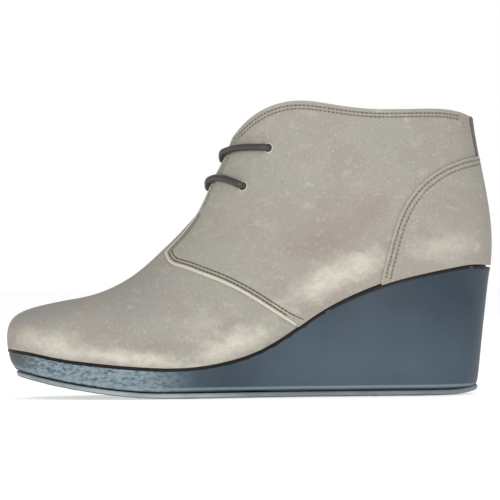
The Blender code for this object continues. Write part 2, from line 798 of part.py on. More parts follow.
def inside_run(side, first, last, until):
    """The lace behind one flap, from one eyelet up or down to the other."""
    level = -(WALL + 0.5 * LACE_DIAMETER + INSIDE_GAP)
    start, end = locate(side, EYELETS[first]), locate(side, EYELETS[last])
    route = lace_turn(side, first, end, -WALL, -1)
    route += [on_the_way(side, start, end, share, level) for share in (0.35, 0.5, 0.65)]
    if until < 1.0:
        return route + [on_the_way(side, start, end, until, level)]
    return route + lace_turn(side, last, start, -WALL, -1)[::-1]


def make_lace(material):
    """One lace: over the upper bar, down behind the medial flap, back over the lower bar."""
    route = [skin(LATERAL, *locate(LATERAL, EYELETS["upper"]), -WALL)]
    route += whole_bar("upper")
    route += inside_run(MEDIAL, "upper", "lower", 1.0)
    route += whole_bar("lower")[::-1]
    route += inside_run(LATERAL, "lower", "upper", 0.75)
    data = bpy.data.curves.new("lace", "CURVE")
    data.dimensions = "3D"
    data.bevel_depth = 0.5 * LACE_DIAMETER
    data.bevel_resolution = LACE_BEVEL
    data.use_fill_caps = True
    spline = data.splines.new("POLY")
    spline.points.add(len(route) - 1)
    for place, target in zip(route, spline.points):
        target.co = (*[float(c) for c in place], 1.0)
    data.materials.append(material)
    made = bpy.data.objects.new("lace", data)
    bpy.context.scene.collection.objects.link(made)
    return made


def centre_on_origin():
    """Stands the boot with the middle of its box over the origin."""
    bpy.context.view_layer.update()
    graph = bpy.context.evaluated_depsgraph_get()
    low, high = np.full(3, np.inf), np.full(3, -np.inf)
    for piece in bpy.data.objects:
        if not piece.hide_render:
            mesh = piece.evaluated_get(graph).to_mesh()
            places = np.array([v.co for v in mesh.vertices], float)
            low, high = np.minimum(low, places.min(0)), np.maximum(high, places.max(0))
    middle = 0.5 * (low + high)
    for item in bpy.data.objects:
        item.location = (-middle[0], -middle[1], 0.0)


def main():
    clear_scene()
    suede = finish_of("suede", SUEDE, 0.9)
    lining = finish_of("lining", LINING, 0.8)
    foam = finish_of("wedge foam", SOLE_GREY, 0.5)
    rubber = finish_of("outsole rubber", OUTSOLE_GREY, 0.55)
    cord = finish_of("lace cord", LACE_BROWN, 0.5)
    quarter_prism = pattern_cutter("quarter_prism", QUARTER_EDGE, QUARTER_BEHIND)
    counter_prism = pattern_cutter("counter_prism", COUNTER_EDGE, COUNTER_BEHIND)
    upper = make_upper(suede)
    for side in (LATERAL, MEDIAL):
        holes = eyelet_cutter(side)
        cut(upper, holes)
        cut(make_quarter(side, quarter_prism, suede), holes)
    make_counter(counter_prism, suede)
    make_back_stay(suede)
    make_tongue(suede)
    make_insole(lining)
    make_wedge(foam)
    make_outsole(rubber)
    make_lace(cord)
    centre_on_origin()


main()
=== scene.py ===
"""Left ankle boot: suede leather lasted over a moulded wedge sole, dressed on the fixed frame.

The leather follows the same last as the solids: a point of it is named by its side, its station
from toe (0) to heel (13), and its height up the rib that starts there (0 to 1).
"""

import math
from collections import namedtuple

import bpy
import numpy as np
from bpy.props import FloatProperty, FloatVectorProperty, PointerProperty
from bpy.types import Operator, Panel, PropertyGroup
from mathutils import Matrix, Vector


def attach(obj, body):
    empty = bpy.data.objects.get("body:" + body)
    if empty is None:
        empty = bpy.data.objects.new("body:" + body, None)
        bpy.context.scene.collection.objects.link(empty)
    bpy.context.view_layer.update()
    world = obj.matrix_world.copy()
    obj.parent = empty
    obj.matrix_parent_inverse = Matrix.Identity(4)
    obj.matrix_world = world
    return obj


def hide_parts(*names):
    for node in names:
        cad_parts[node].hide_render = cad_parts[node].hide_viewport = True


bl_info = {
    "name": "Ankle Boot",
    "version": (1, 0, 0),
    "blender": (4, 5, 0),
    "location": "View3D > Sidebar > Boot",
    "description": "Suede lace-up ankle boot on a wedge sole",
    "category": "Object",
}

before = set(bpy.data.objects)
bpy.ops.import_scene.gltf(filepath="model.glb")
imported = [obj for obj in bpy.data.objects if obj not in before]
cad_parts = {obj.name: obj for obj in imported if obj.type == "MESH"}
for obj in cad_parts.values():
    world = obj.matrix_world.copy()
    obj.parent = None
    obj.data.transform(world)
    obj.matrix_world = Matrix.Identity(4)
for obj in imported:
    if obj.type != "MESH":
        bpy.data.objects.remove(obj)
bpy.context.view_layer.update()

# The last, as the solids have it
LENGTH, BALL_WIDTH, SEAT_HEIGHT = 0.245, 0.080, 0.0657
BOOT_HEIGHT, COLLAR_WIDTH = 0.1475, 0.060
WALL = 0.0016
SEAT_GAP = 0.0003
FLAP_GAP, OVERLAY_GAP = 0.00008, 0.00016
THROAT_GAP, CORNER_GAP = 0.013, 0.026
ORIGIN = np.array([-0.1230894, 0.0014197, 0.0])
LATERAL, MEDIAL = -1, 1
TOE_SPRING, SPRING_CURVE = 0.0112, 1.65
FLAT_FROM, SPRING_FROM = 0.320, 0.020

Section = namedtuple(
    "Section",
    "along lateral medial top_along top_height top_half lean swing rise low_full high_full",
)
SECTIONS = {
    "toe tip": Section(0.003, -0.042, 0.042, 0.112, 0.328, 0.00, 7, 0, 11, 0.50, 0.60),
    "toe front": Section(0.020, 0.152, 0.233, 0.127, 0.333, 0.00, 10, 36, 9, 0.48, 0.56),
    "toe side": Section(0.070, 0.306, 0.344, 0.168, 0.345, 0.00, 13, 70, 6, 0.46, 0.50),
    "vamp front": Section(0.147, 0.425, 0.420, 0.221, 0.375, 0.00, 14, 86, 3, 0.44, 0.46),
    "ball": Section(0.245, 0.490, 0.470, 0.278, 0.432, 0.00, 13, 90, 0, 0.40, 0.40),
    "vamp point": Section(0.343, 0.510, 0.466, 0.334, 0.515, 0.00, 12, 90, 0, 0.36, 0.33),
    "throat": Section(0.433, 0.485, 0.400, 0.3915, 0.618, 0.00, 12, 90, 2, 0.34, 0.30),
    "lower eyelet": Section(0.522, 0.425, 0.330, 0.430, 0.738, 0.00, 12, 90, 6, 0.33, 0.27),
    "upper eyelet": Section(0.612, 0.385, 0.315, 0.462, 0.845, 0.05, 13, 94, 26, 0.33, 0.26),
    "collar front": Section(0.710, 0.365, 0.325, 0.517, 0.953, 0.31, 13, 145, 62, 0.33, 0.30),
    "collar side": Section(0.806, 0.360, 0.345, 0.610, 1.000, 0.475, 12, 182, 68, 0.33, 0.33),
    "collar rear": Section(0.890, 0.335, 0.335, 0.748, 0.970, 0.50, 11, 182, 75, 0.33, 0.33),
    "heel side": Section(0.960, 0.215, 0.230, 0.902, 0.967, 0.335, 9, 180, 81, 0.33, 0.33),
    "heel back": Section(0.990, -0.005, 0.005, 0.957, 0.940, 0.00, 7, 180, 84, 0.34, 0.36),
}
HEEL = len(SECTIONS) - 1
SLIT_START, SLIT_FULL = 5.67, 6.5
CORNER_AT, FLAPS_PARALLEL = 5.0, 6.9
FEATHER_LINE = (
    (0.000, 0.376), (0.046, 0.355), (0.107, 0.309), (0.169, 0.276), (0.231, 0.251),
    (0.293, 0.233), (0.340, 0.226), (0.400, 0.237), (0.458, 0.275), (0.520, 0.350),
    (0.583, 0.484), (0.645, 0.640), (0.710, 0.765), (0.780, 0.865), (0.850, 0.932),
    (0.914, 0.979), (0.956, 1.000), (1.000, 0.984),
)
# Edges of the pattern as the side shows them: share of LENGTH, share of BOOT_HEIGHT.
FLAP_EDGE = (
    (0.680, 0.150), (0.601, 0.234), (0.542, 0.297), (0.480, 0.360), (0.431, 0.398),
    (0.392, 0.423), (0.368, 0.438), (0.350, 0.447), (0.339, 0.459), (0.333, 0.480),
    (0.328, 0.510),
)
COUNTER_EDGE = (
    (0.755, 0.280), (0.765, 0.340), (0.772, 0.400), (0.787, 0.494), (0.802, 0.578),
    (0.823, 0.652), (0.854, 0.716), (0.896, 0.766), (0.937, 0.794), (0.985, 0.812),
    (1.050, 0.828),
)
STAY_FOOT, STAY_THICKNESS, STAY_STATIONS = 0.808, 0.0008, 0.3
EYELETS = {"lower": (0.493, 0.712), "upper": (0.545, 0.842)}
BAR_STATIONS = {"lower": 7.00, "upper": 7.93}
HOLE_PLAY = 0.0003

# Creases and soft hollows of the leather: side, station, height, how far they reach along and
# up, the lean of the crease in the plane of the leather, in degrees, and depth in metres.
Crease = namedtuple("Crease", "side station height along up turn depth")
CREASES = (
    Crease(LATERAL, 4.9, 0.62, 0.30, 0.26, 12, 0.00045),
    Crease(MEDIAL, 4.9, 0.62, 0.30, 0.26, 12, 0.00045),
    Crease(LATERAL, 4.1, 0.60, 0.34, 0.24, -8, 0.00030),
    Crease(MEDIAL, 4.2, 0.58, 0.34, 0.24, -6, 0.00035),
    Crease(LATERAL, 8.6, 0.46, 0.50, 0.07, 24, 0.00050),
    Crease(MEDIAL, 8.4, 0.48, 0.50, 0.07, 20, 0.00055),
    Crease(LATERAL, 9.9, 0.56, 0.60, 0.06, 14, 0.00035),
    Crease(MEDIAL, 10.1, 0.55, 0.60, 0.06, 16, 0.00040),
)
# A crease's raised lip stands this many widths off it, and creases die out this near an edge.
LIP, EDGE_REACH = 1.6, 0.08


class BootSizes(PropertyGroup):
    """Sizes that a maker would change."""

    flap_thickness: FloatProperty(
        name="Flap thickness", description="Suede of the flaps", default=0.0012, unit="LENGTH"
    )
    counter_thickness: FloatProperty(
        name="Counter thickness", description="Suede round the heel", default=0.0010, unit="LENGTH"
    )
    stitch_pitch: FloatProperty(
        name="Stitch pitch", description="From one stitch to the next", default=0.0021,
        unit="LENGTH",
    )
    stitch_length: FloatProperty(
        name="Stitch length", description="Thread that shows", default=0.00155, unit="LENGTH"
    )
    thread: FloatProperty(
        name="Thread", description="Thickness of the thread", default=0.00062, unit="LENGTH"
    )
    cord: FloatProperty(
        name="Cord", description="Diameter of the lace", default=0.0035, unit="LENGTH"
    )
    leather_step: FloatProperty(
        name="Leather step", description="Spacing of the leather's mesh", default=0.0013,
        unit="LENGTH",
    )


def colour(name, description, default):
    """A colour that a user would change."""
    return FloatVectorProperty(
        name=name, description=description, subtype="COLOR", size=3, min=0.0, max=1.0,
        default=default,
    )


class BootColours(PropertyGroup):
    """Colours of the materials, as linear values."""

    suede: colour("Suede", "Main nap", (0.352, 0.326, 0.286))
    # Also painted light from below, low on the leather near the sole
    suede_pale_and_lit: colour("Light nap", "Brushed and pale nap", (0.610, 0.580, 0.495))
    # Also painted shade over the vamp ahead of the flap and at the toe's top
    suede_grey_and_shade: colour("Grey nap", "Cool nap over the vamp", (0.300, 0.297, 0.278))
    suede_rose: colour("Rose nap", "Warm nap over the quarter", (0.300, 0.240, 0.210))
    suede_green: colour("Green nap", "Mossy nap of the flap", (0.328, 0.322, 0.264))
    raw_edge: colour("Raw edge", "Cut edges of the leather", (0.640, 0.610, 0.520))
    thread_light: colour("Light thread", "Thread along the collar", (0.36, 0.325, 0.27))
    thread_dark: colour("Dark thread", "Thread over the vamp", (0.19, 0.165, 0.115))
    lining: colour("Lining", "Leather inside the boot", (0.36, 0.31, 0.235))
    wedge: colour("Wedge", "Moulded sole", (0.044, 0.070, 0.099))
    # Painted shade towards the top under the leather, at the back of the heel and in the forefoot's
    # pits; also the darker waist
    wedge_dark_and_shade: colour("Dark wedge", "Sole under the seat and at the toe", (0.023, 0.038, 0.056))
    # Scuffs round the forefoot, with a painted highlight on its upturned wall and on the line above
    # the groove
    wedge_scuff_and_highlight: colour("Pale wedge", "Scuffed forefoot", (0.250, 0.320, 0.350))
    outsole: colour("Outsole", "Tread layer", (0.320, 0.385, 0.395))
    cord: colour("Cord", "Waxed lace", (0.060, 0.052, 0.048))
    floor: colour("Floor", "Studio floor", (0.80, 0.80, 0.80))


def sizes():
    """The sizes in force."""
    return bpy.context.scene.boot_sizes


def colours():
    """The colours in force."""
    return bpy.context.scene.boot_colours


class RingSpline:
    """A closed cubic spline through rows of numbers, one knot for each row."""

    def __init__(self, rows):
        self.rows = np.array(rows, float)
        count = len(self.rows)
        matrix = 4.0 * np.eye(count) + np.roll(np.eye(count), 1, 0) + np.roll(np.eye(count), -1, 0)
        bend = np.roll(self.rows, 1, 0) - 2 * self.rows + np.roll(self.rows, -1, 0)
        self.curvature = np.linalg.solve(matrix, 6.0 * bend)

    def __call__(self, position):
        position = np.mod(np.asarray(position, float), len(self.rows))
        i = np.floor(position).astype(int) % len(self.rows)
        j = (i + 1) % len(self.rows)
        f = (position - np.floor(position))[..., None]
        g = 1.0 - f
        line = g * self.rows[i] + f * self.rows[j]
        return line + ((g**3 - g) * self.curvature[i] + (f**3 - f) * self.curvature[j]) / 6.0


class OpenSpline:
    """A natural cubic spline of one or more columns over rising knots."""

    def __init__(self, knots, rows):
        self.knots = np.array(knots, float)
        self.rows = np.array(rows, float).reshape(len(self.knots), -1)
        step = np.diff(self.knots)
        count = len(self.knots)
        matrix, right = np.eye(count), np.zeros_like(self.rows)
        slope = np.diff(self.rows, axis=0) / step[:, None]
        for i in range(1, count - 1):
            matrix[i, i - 1 : i + 2] = step[i - 1], 2 * (step[i - 1] + step[i]), step[i]
            right[i] = 6.0 * (slope[i] - slope[i - 1])
        self.curvature = np.linalg.solve(matrix, right)

    def __call__(self, value):
        value = np.asarray(value, float)
        i = np.clip(np.searchsorted(self.knots, value) - 1, 0, len(self.knots) - 2)
        step = (self.knots[i + 1] - self.knots[i])[..., None]
        f = (value - self.knots[i])[..., None] / step
        g = 1.0 - f
        bend = (g**3 - g) * self.curvature[i] + (f**3 - f) * self.curvature[i + 1]
        return g * self.rows[i] + f * self.rows[i + 1] + bend * step**2 / 6.0


def section_row(name, side):
    """A section of one side as a row of numbers, in metres and as directions."""
    row = SECTIONS[name]
    out = row.lateral if side == LATERAL else row.medial
    swing, rise = math.radians(row.swing), math.radians(row.rise)
    return (
        row.along * LENGTH,
        side * out * BALL_WIDTH,
        row.top_along * LENGTH,
        side * row.top_half * COLLAR_WIDTH,
        row.top_height * BOOT_HEIGHT,
        math.tan(math.radians(row.lean)),
        math.cos(rise) * math.cos(swing),
        -side * math.cos(rise) * math.sin(swing),
        math.sin(rise),
        row.low_full,
        row.high_full,
    )


def last_ring():
    """The sections as a ring: the lateral side from toe to heel, then the medial side back."""
    names = list(SECTIONS)
    lateral = [section_row(name, LATERAL) for name in names]
    return RingSpline(lateral + [section_row(name, MEDIAL) for name in reversed(names[1:-1])])


LAST = last_ring()
FEATHER = OpenSpline(
    [row[0] * LENGTH for row in FEATHER_LINE], [row[1] * SEAT_HEIGHT for row in FEATHER_LINE]
)


def ring_position(side, station):
    """Where a side's station stands on the ring."""
    return station if side == LATERAL else 2 * HEEL - station


def plan_normal(side, station):
    """The outward direction of the feather line's plan, level with the floor."""
    position = ring_position(side, station)
    run = LAST(position + 0.01)[:, :2] - LAST(position - 0.01)[:, :2]
    return np.stack([run[:, 1], -run[:, 0]], 1) / np.linalg.norm(run, axis=1)[:, None]


def feather_height(x):
    """Height of the last's bottom edge at x from the toe."""
    return FEATHER(np.clip(x, 0.0, LENGTH))[..., 0]


def unit(rows):
    """Each row scaled to length 1."""
    return rows / np.linalg.norm(rows, axis=-1, keepdims=True)


def run_along(points):
    """Distance along a line of points from its first one."""
    return np.concatenate([[0.0], np.cumsum(np.linalg.norm(np.diff(points, axis=0), axis=1))])


def ribs(side, station):
    """The four control points of the rib at each station: foot, two handles and top."""
    row = LAST(ring_position(side, station))
    normal = np.concatenate([plan_normal(side, station), np.zeros((len(station), 1))], 1)
    foot = np.stack([row[:, 0], row[:, 1], feather_height(row[:, 0]) + SEAT_GAP], 1)
    top = np.stack([row[:, 2], side * np.maximum(0.0, side * row[:, 3]), row[:, 4]], 1)
    chord = top - foot
    climb = unit(chord - normal * np.sum(chord * normal, 1)[:, None])
    leave = unit(climb + normal * row[:, 5:6])
    reach = np.linalg.norm(chord, axis=1)[:, None]
    arrive = unit(row[:, 6:9])
    low, high = foot + leave * row[:, 9:10] * reach, top - arrive * row[:, 10:11] * reach
    return foot, low, high, top


def bezier(points, t):
    """The point at t on each curve of four control points."""
    a, b, c, d = points
    t = t[:, None]
    s = 1.0 - t
    return s**3 * a + 3 * s * s * t * b + 3 * s * t * t * c + t**3 * d


def softness(side, station, height):
    """How far the leather stands out of the last, in metres, at its creases and hollows."""
    out = np.zeros_like(station)
    for crease in CREASES:
        if crease.side != side:
            continue
        turn = math.radians(crease.turn)
        along = (station - crease.station) * 0.25
        up = height - crease.height
        u = along * math.cos(turn) + up * math.sin(turn)
        v = up * math.cos(turn) - along * math.sin(turn)
        far = (u / (0.5 * crease.along)) ** 2
        dent = np.exp(-far - (v / crease.up) ** 2)
        lip = np.exp(-far - ((v - LIP * crease.up) / crease.up) ** 2)
        out += crease.depth * (0.5 * lip - dent)
    edge = np.clip((1.0 - height) / EDGE_REACH, 0.0, 1.0) * np.clip(height / EDGE_REACH, 0.0, 1.0)
    return out * edge


def leather(side, station, height, out=0.0):
    """Points of the leather and the directions that it faces, in the frame's axes."""
    station, height, out = np.broadcast_arrays(
        np.asarray(station, float), np.asarray(height, float), np.asarray(out, float)
    )
    s, t, o = station.ravel(), height.ravel(), out.ravel()
    step = 0.02
    here = ribs(side, s)
    point = bezier(here, t)
    up = bezier(here, np.minimum(t + step, 1.0)) - bezier(here, np.maximum(t - step, 0.0))
    back = bezier(ribs(side, s + step), t) - bezier(ribs(side, s - step), t)
    normal = unit(np.cross(back, up) * -side)
    place = point + normal * (o + softness(side, s, t))[:, None] + ORIGIN
    return place.reshape(station.shape + (3,)), normal.reshape(station.shape + (3,))


def halve(function, low, high):
    """Where function crosses zero between the arrays low and high, by halving."""
    low, high = np.array(low, float), np.array(high, float)
    start = function(low) > 0
    for _ in range(36):
        middle = 0.5 * (low + high)
        same = (function(middle) > 0) == start
        low, high = np.where(same, middle, low), np.where(same, high, middle)
    return 0.5 * (low + high)


def short_of_middle(side, station, half_gap):
    """How high a rib runs before it comes within half_gap of the centre line."""
    points = ribs(side, station)

    def beyond(t):
        return side * bezier(points, t)[:, 1] - half_gap

    found = halve(beyond, np.full(len(station), 0.5), np.ones(len(station)))
    return np.where(beyond(np.ones(len(station))) >= 0, 1.0, found)


def wall_end(side, station):
    """How high the wall's ribs run: to the ridge, to the slit, or to the collar."""
    opening = np.clip((station - SLIT_START) / (SLIT_FULL - SLIT_START), 0.0, 1.0)
    found = short_of_middle(side, station, 0.5 * THROAT_GAP * np.sqrt(opening))
    return np.where(station <= SLIT_START, 1.0, found)


def flap_end(side, station):
    """How high the flap's ribs run: its front edges part towards their lower corners."""
    parting = 1.0 - np.clip((station - CORNER_AT) / (FLAPS_PARALLEL - CORNER_AT), 0.0, 1.0)
    return short_of_middle(side, station, 0.5 * (THROAT_GAP + (CORNER_GAP - THROAT_GAP) * parting))


def edge_curve(edge):
    """A pattern's edge as a fine polyline of x and z from the toe."""
    places = np.array([(x * LENGTH, z * BOOT_HEIGHT) for x, z in edge])
    knots = run_along(places)
    return OpenSpline(knots, places)(np.linspace(0.0, knots[-1], 240))


def beyond_edge(line, x, z):
    """Signed distance of side-view points from a pattern's edge, positive to its right."""
    a, b = line[:-1], line[1:]
    run = b - a
    place = np.stack([x, z], -1)[:, None, :]
    share = np.clip(np.sum((place - a) * run, 2) / np.sum(run * run, 1), 0.0, 1.0)
    away = place - (a + share[..., None] * run)
    distance = np.linalg.norm(away, axis=2)
    nearest = np.argmin(distance, axis=1)
    rows = np.arange(len(x))
    cross = run[nearest, 0] * away[rows, nearest, 1] - run[nearest, 1] * away[rows, nearest, 0]
    return -np.sign(cross) * distance[rows, nearest]


def side_view(side, station, height):
    """x and z of points of the leather, from the toe and the floor."""
    points = bezier(ribs(side, station), height)
    return points[:, 0], points[:, 2]


FINE = (
    0.0, 0.0003, 0.0007, 0.0012, 0.0017, 0.0020, 0.0023, 0.0026, 0.0030, 0.0034, 0.0038, 0.0042,
    0.0050,
)


def spread(length, step, both=True):
    """Distances along a line: fine ones at its start, and at its end if both, even ones between."""
    near = [d for d in FINE if d < 0.45 * length]
    far = [length - d for d in reversed(near)] if both else [length]
    count = max(1, round((far[0] - near[-1]) / step))
    middle = [near[-1] + (far[0] - near[-1]) * i / count for i in range(1, count)]
    return np.array(near + middle + far)


WELD = 4e-5


def deselect():
    """Nothing selected and nothing in edit mode, before a piece is made."""
    if bpy.context.object and bpy.context.object.mode != "OBJECT":
        bpy.ops.object.mode_set(mode="OBJECT")
    bpy.ops.object.select_all(action="DESELECT")


def pick(piece):
    """The piece alone, selected and active."""
    deselect()
    piece.select_set(True)
    bpy.context.view_layer.objects.active = piece
    return piece


def sheet(name, points, flip=False):
    """A grid primitive laid over rows of points."""
    rows, columns = points.shape[:2]
    deselect()
    bpy.ops.mesh.primitive_grid_add(
        x_subdivisions=columns - 1, y_subdivisions=rows - 1, size=1.0, calc_uvs=True
    )
    piece = bpy.context.object
    piece.name = name
    piece.data.vertices.foreach_set("co", points.reshape(-1))
    if flip:
        turn_inside_out(piece)
    return piece


def turn_inside_out(piece):
    """Turns all the faces of a piece round."""
    pick(piece)
    bpy.ops.object.mode_set(mode="EDIT")
    bpy.ops.mesh.select_all(action="SELECT")
    bpy.ops.mesh.flip_normals()
    bpy.ops.object.mode_set(mode="OBJECT")


def join(name, pieces):
    """Halves joined into one, with the points along their shared edge merged."""
    deselect()
    for piece in pieces:
        piece.select_set(True)
    bpy.context.view_layer.objects.active = pieces[0]
    bpy.ops.object.join()
    made = bpy.context.object
    made.name = name
    bpy.ops.object.mode_set(mode="EDIT")
    bpy.ops.mesh.select_all(action="SELECT")
    bpy.ops.mesh.remove_doubles(threshold=WELD)
    bpy.ops.object.mode_set(mode="OBJECT")
    return made


def apply_modifier(piece, kind, **settings):
    """Adds a modifier with these settings and applies it."""
    pick(piece)
    bpy.ops.object.modifier_add(type=kind)
    step = piece.modifiers[-1]
    for name, value in settings.items():
        setattr(step, name, value)
    bpy.ops.object.modifier_apply(modifier=step.name)


def thicken(piece, thickness, bevel=0.0004, segments=3):
    """Gives a sheet its thickness inwards, the cut edge's material, and rounded edges."""
    apply_modifier(piece, "SOLIDIFY", thickness=thickness, offset=-1.0, material_offset_rim=1)
    apply_modifier(
        piece, "BEVEL", width=bevel, segments=segments, limit_method="ANGLE",
        angle_limit=math.radians(50),
    )


def smooth(piece, degrees=40):
    """Shades a piece smooth but for edges that turn by more than this."""
    pick(piece)
    bpy.ops.object.shade_smooth_by_angle(angle=math.radians(degrees))


def coat(piece, *finishes):
    """Gives a piece these materials in place of the ones that it has."""
    piece.data.materials.clear()
    for finish in finishes:
        piece.data.materials.append(finish)


def dress(piece, node):
    """Hands a finished piece its node and its place on the boot."""
    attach(piece, "root")
    if node:
        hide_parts(node)
    return piece


def copy_of(node, name):
    """A copy of a solid with its loose triangles merged into quads."""
    pick(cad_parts[node])
    bpy.ops.object.duplicate()
    piece = bpy.context.object
    piece.name = name
    bpy.ops.object.mode_set(mode="EDIT")
    bpy.ops.mesh.select_all(action="SELECT")
    bpy.ops.mesh.remove_doubles(threshold=1e-6)
    bpy.ops.mesh.tris_convert_to_quads(
        face_threshold=math.radians(60), shape_threshold=math.radians(60)
    )
    bpy.ops.object.mode_set(mode="OBJECT")
    return piece


def crease_edges(piece, degrees, amount=1.0):
    """Keeps the edges that turn by more than this crisp when the piece is subdivided."""
    pick(piece)
    bpy.ops.object.mode_set(mode="EDIT")
    bpy.ops.mesh.select_all(action="DESELECT")
    bpy.ops.mesh.edges_select_sharp(sharpness=math.radians(degrees))
    bpy.ops.transform.edge_crease(value=amount)
    bpy.ops.object.mode_set(mode="OBJECT")


def distance_to_lines(points, lines):
    """Distance of each point from the nearest of the polylines."""
    best = np.full(len(points), np.inf)
    for line in lines:
        a, b = line[:-1], line[1:]
        run = b - a
        square = np.sum(run * run, 1)
        for start in range(0, len(points), 4000):
            chunk = points[start : start + 4000, None, :]
            share = np.clip(np.sum((chunk - a) * run, 2) / square, 0.0, 1.0)
            away = np.linalg.norm(chunk - (a + share[..., None] * run), axis=2).min(1)
            best[start : start + 4000] = np.minimum(best[start : start + 4000], away)
    return best


def mark(piece, name, values):
    """Writes one number for each point of the mesh, for the materials to read."""
    layer = piece.data.attributes.get(name)
    if layer is None:
        layer = piece.data.attributes.new(name, "FLOAT", "POINT")
    layer.data.foreach_set("value", np.asarray(values, np.float32))


FAR = 0.01


def corners(piece):
    """The places of a mesh's points."""
    places = np.empty(3 * len(piece.data.vertices))
    piece.data.vertices.foreach_get("co", places)
    return places.reshape(-1, 3)


def mark_distance(piece, name, lines):
    """Marks each point with its distance from the nearest line."""
    mark(piece, name, distance_to_lines(corners(piece), lines))


class Value:
    """A shader socket that takes arithmetic."""

    def __init__(self, finish, socket):
        self.finish, self.socket = finish, socket

    def maths(self, operation, *others):
        return self.finish.node("ShaderNodeMath", {"operation": operation}, self, *others)[0]

    def __add__(self, other):
        return self.maths("ADD", other)

    def __sub__(self, other):
        return self.maths("SUBTRACT", other)

    def __mul__(self, other):
        return self.maths("MULTIPLY", other)

    def __truediv__(self, other):
        return self.maths("DIVIDE", other)

    def __pow__(self, other):
        return self.maths("POWER", other)

    def __rsub__(self, other):
        return (self * -1.0).maths("ADD", other)

    __radd__ = __add__
    __rmul__ = __mul__

    def between(self, low, high, start=0.0, end=1.0):
        """A smooth step of this value from low to high, giving start to end."""
        settings = {"interpolation_type": "SMOOTHSTEP"}
        return self.finish.node("ShaderNodeMapRange", settings, self, low, high, start, end)[0]


class Finish:
    """A material whose nodes are added one after another."""

    def __init__(self, name, roughness, gloss=0.25):
        self.material = bpy.data.materials.new(name)
        self.material.use_nodes = True
        self.tree = self.material.node_tree
        self.shader = self.tree.nodes["Principled BSDF"]
        self.shader.inputs["Roughness"].default_value = roughness
        self.shader.inputs["Specular IOR Level"].default_value = gloss

    def node(self, kind, settings, *values, **named):
        """A node of this kind: its settings, then its sockets in order or by name."""
        made = self.tree.nodes.new(kind)
        for key, value in settings.items():
            setattr(made, key, value)
        for socket, value in zip(made.inputs, values):
            self.feed(socket, value)
        for key, value in named.items():
            self.feed(made.inputs[key.replace("_", " ").title()], value)
        return [Value(self, socket) for socket in made.outputs]

    def feed(self, socket, value):
        """Links a value to a socket, or sets the socket to a constant."""
        if isinstance(value, Value):
            self.tree.links.new(value.socket, socket)
        else:
            socket.default_value = value

    def place(self):
        """The point on the object, as a vector and as its three numbers."""
        vector = self.node("ShaderNodeTexCoord", {})[3]
        return vector, self.node("ShaderNodeSeparateXYZ", {}, vector)

    def flattened(self, vector, upright):
        """The vector with its height stretched, so that a pattern on it lies flatter."""
        return self.node("ShaderNodeMapping", {}, vector, scale=(1.0, 1.0, upright))[0]

    def noise(self, vector, scale, detail=3.0, roughness=0.5, distortion=0.0):
        """Cloudy noise from 0 to 1."""
        return self.node(
            "ShaderNodeTexNoise", {},
            vector=vector, scale=scale, detail=detail, roughness=roughness, distortion=distortion,
        )[0]

    def cells(self, vector, scale):
        """Distance from the nearest of scattered points."""
        return self.node("ShaderNodeTexVoronoi", {}, vector, scale=scale)[0]

    def mark(self, name):
        """The number that a piece's points carry under this name."""
        return self.node("ShaderNodeAttribute", {"attribute_name": name})[2]

    def mixed(self, share, first, second):
        """first where share is 0 and second where it is 1."""
        made = self.tree.nodes.new("ShaderNodeMix")
        made.data_type = "RGBA"
        self.feed(made.inputs[0], share)
        self.feed(made.inputs[6], rgba(first))
        self.feed(made.inputs[7], rgba(second))
        return Value(self, made.outputs[2])

    def bump(self, height, distance, strength=1.0, below=None):
        """A normal tilted by a height, over another normal if one is given."""
        made = self.tree.nodes.new("ShaderNodeBump")
        made.inputs["Strength"].default_value = strength
        made.inputs["Distance"].default_value = distance
        self.feed(made.inputs["Height"], height)
        if below is not None:
            self.feed(made.inputs["Normal"], below)
        return Value(self, made.outputs[0])

    def set(self, **sockets):
        """Feeds the shader's sockets by name and returns the finished material."""
        for key, value in sockets.items():
            self.feed(self.shader.inputs[key.replace("_", " ").title()], value)
        return self.material


def rgba(value):
    """A colour as a shader socket takes it."""
    if isinstance(value, Value):
        return value
    return (*value[:3], 1.0)


def ramp(x, start, end):
    """A smooth step along the shoe, from 0 to 1 between two distances from the toe."""
    return x.between(start + ORIGIN[0], end + ORIGIN[0])


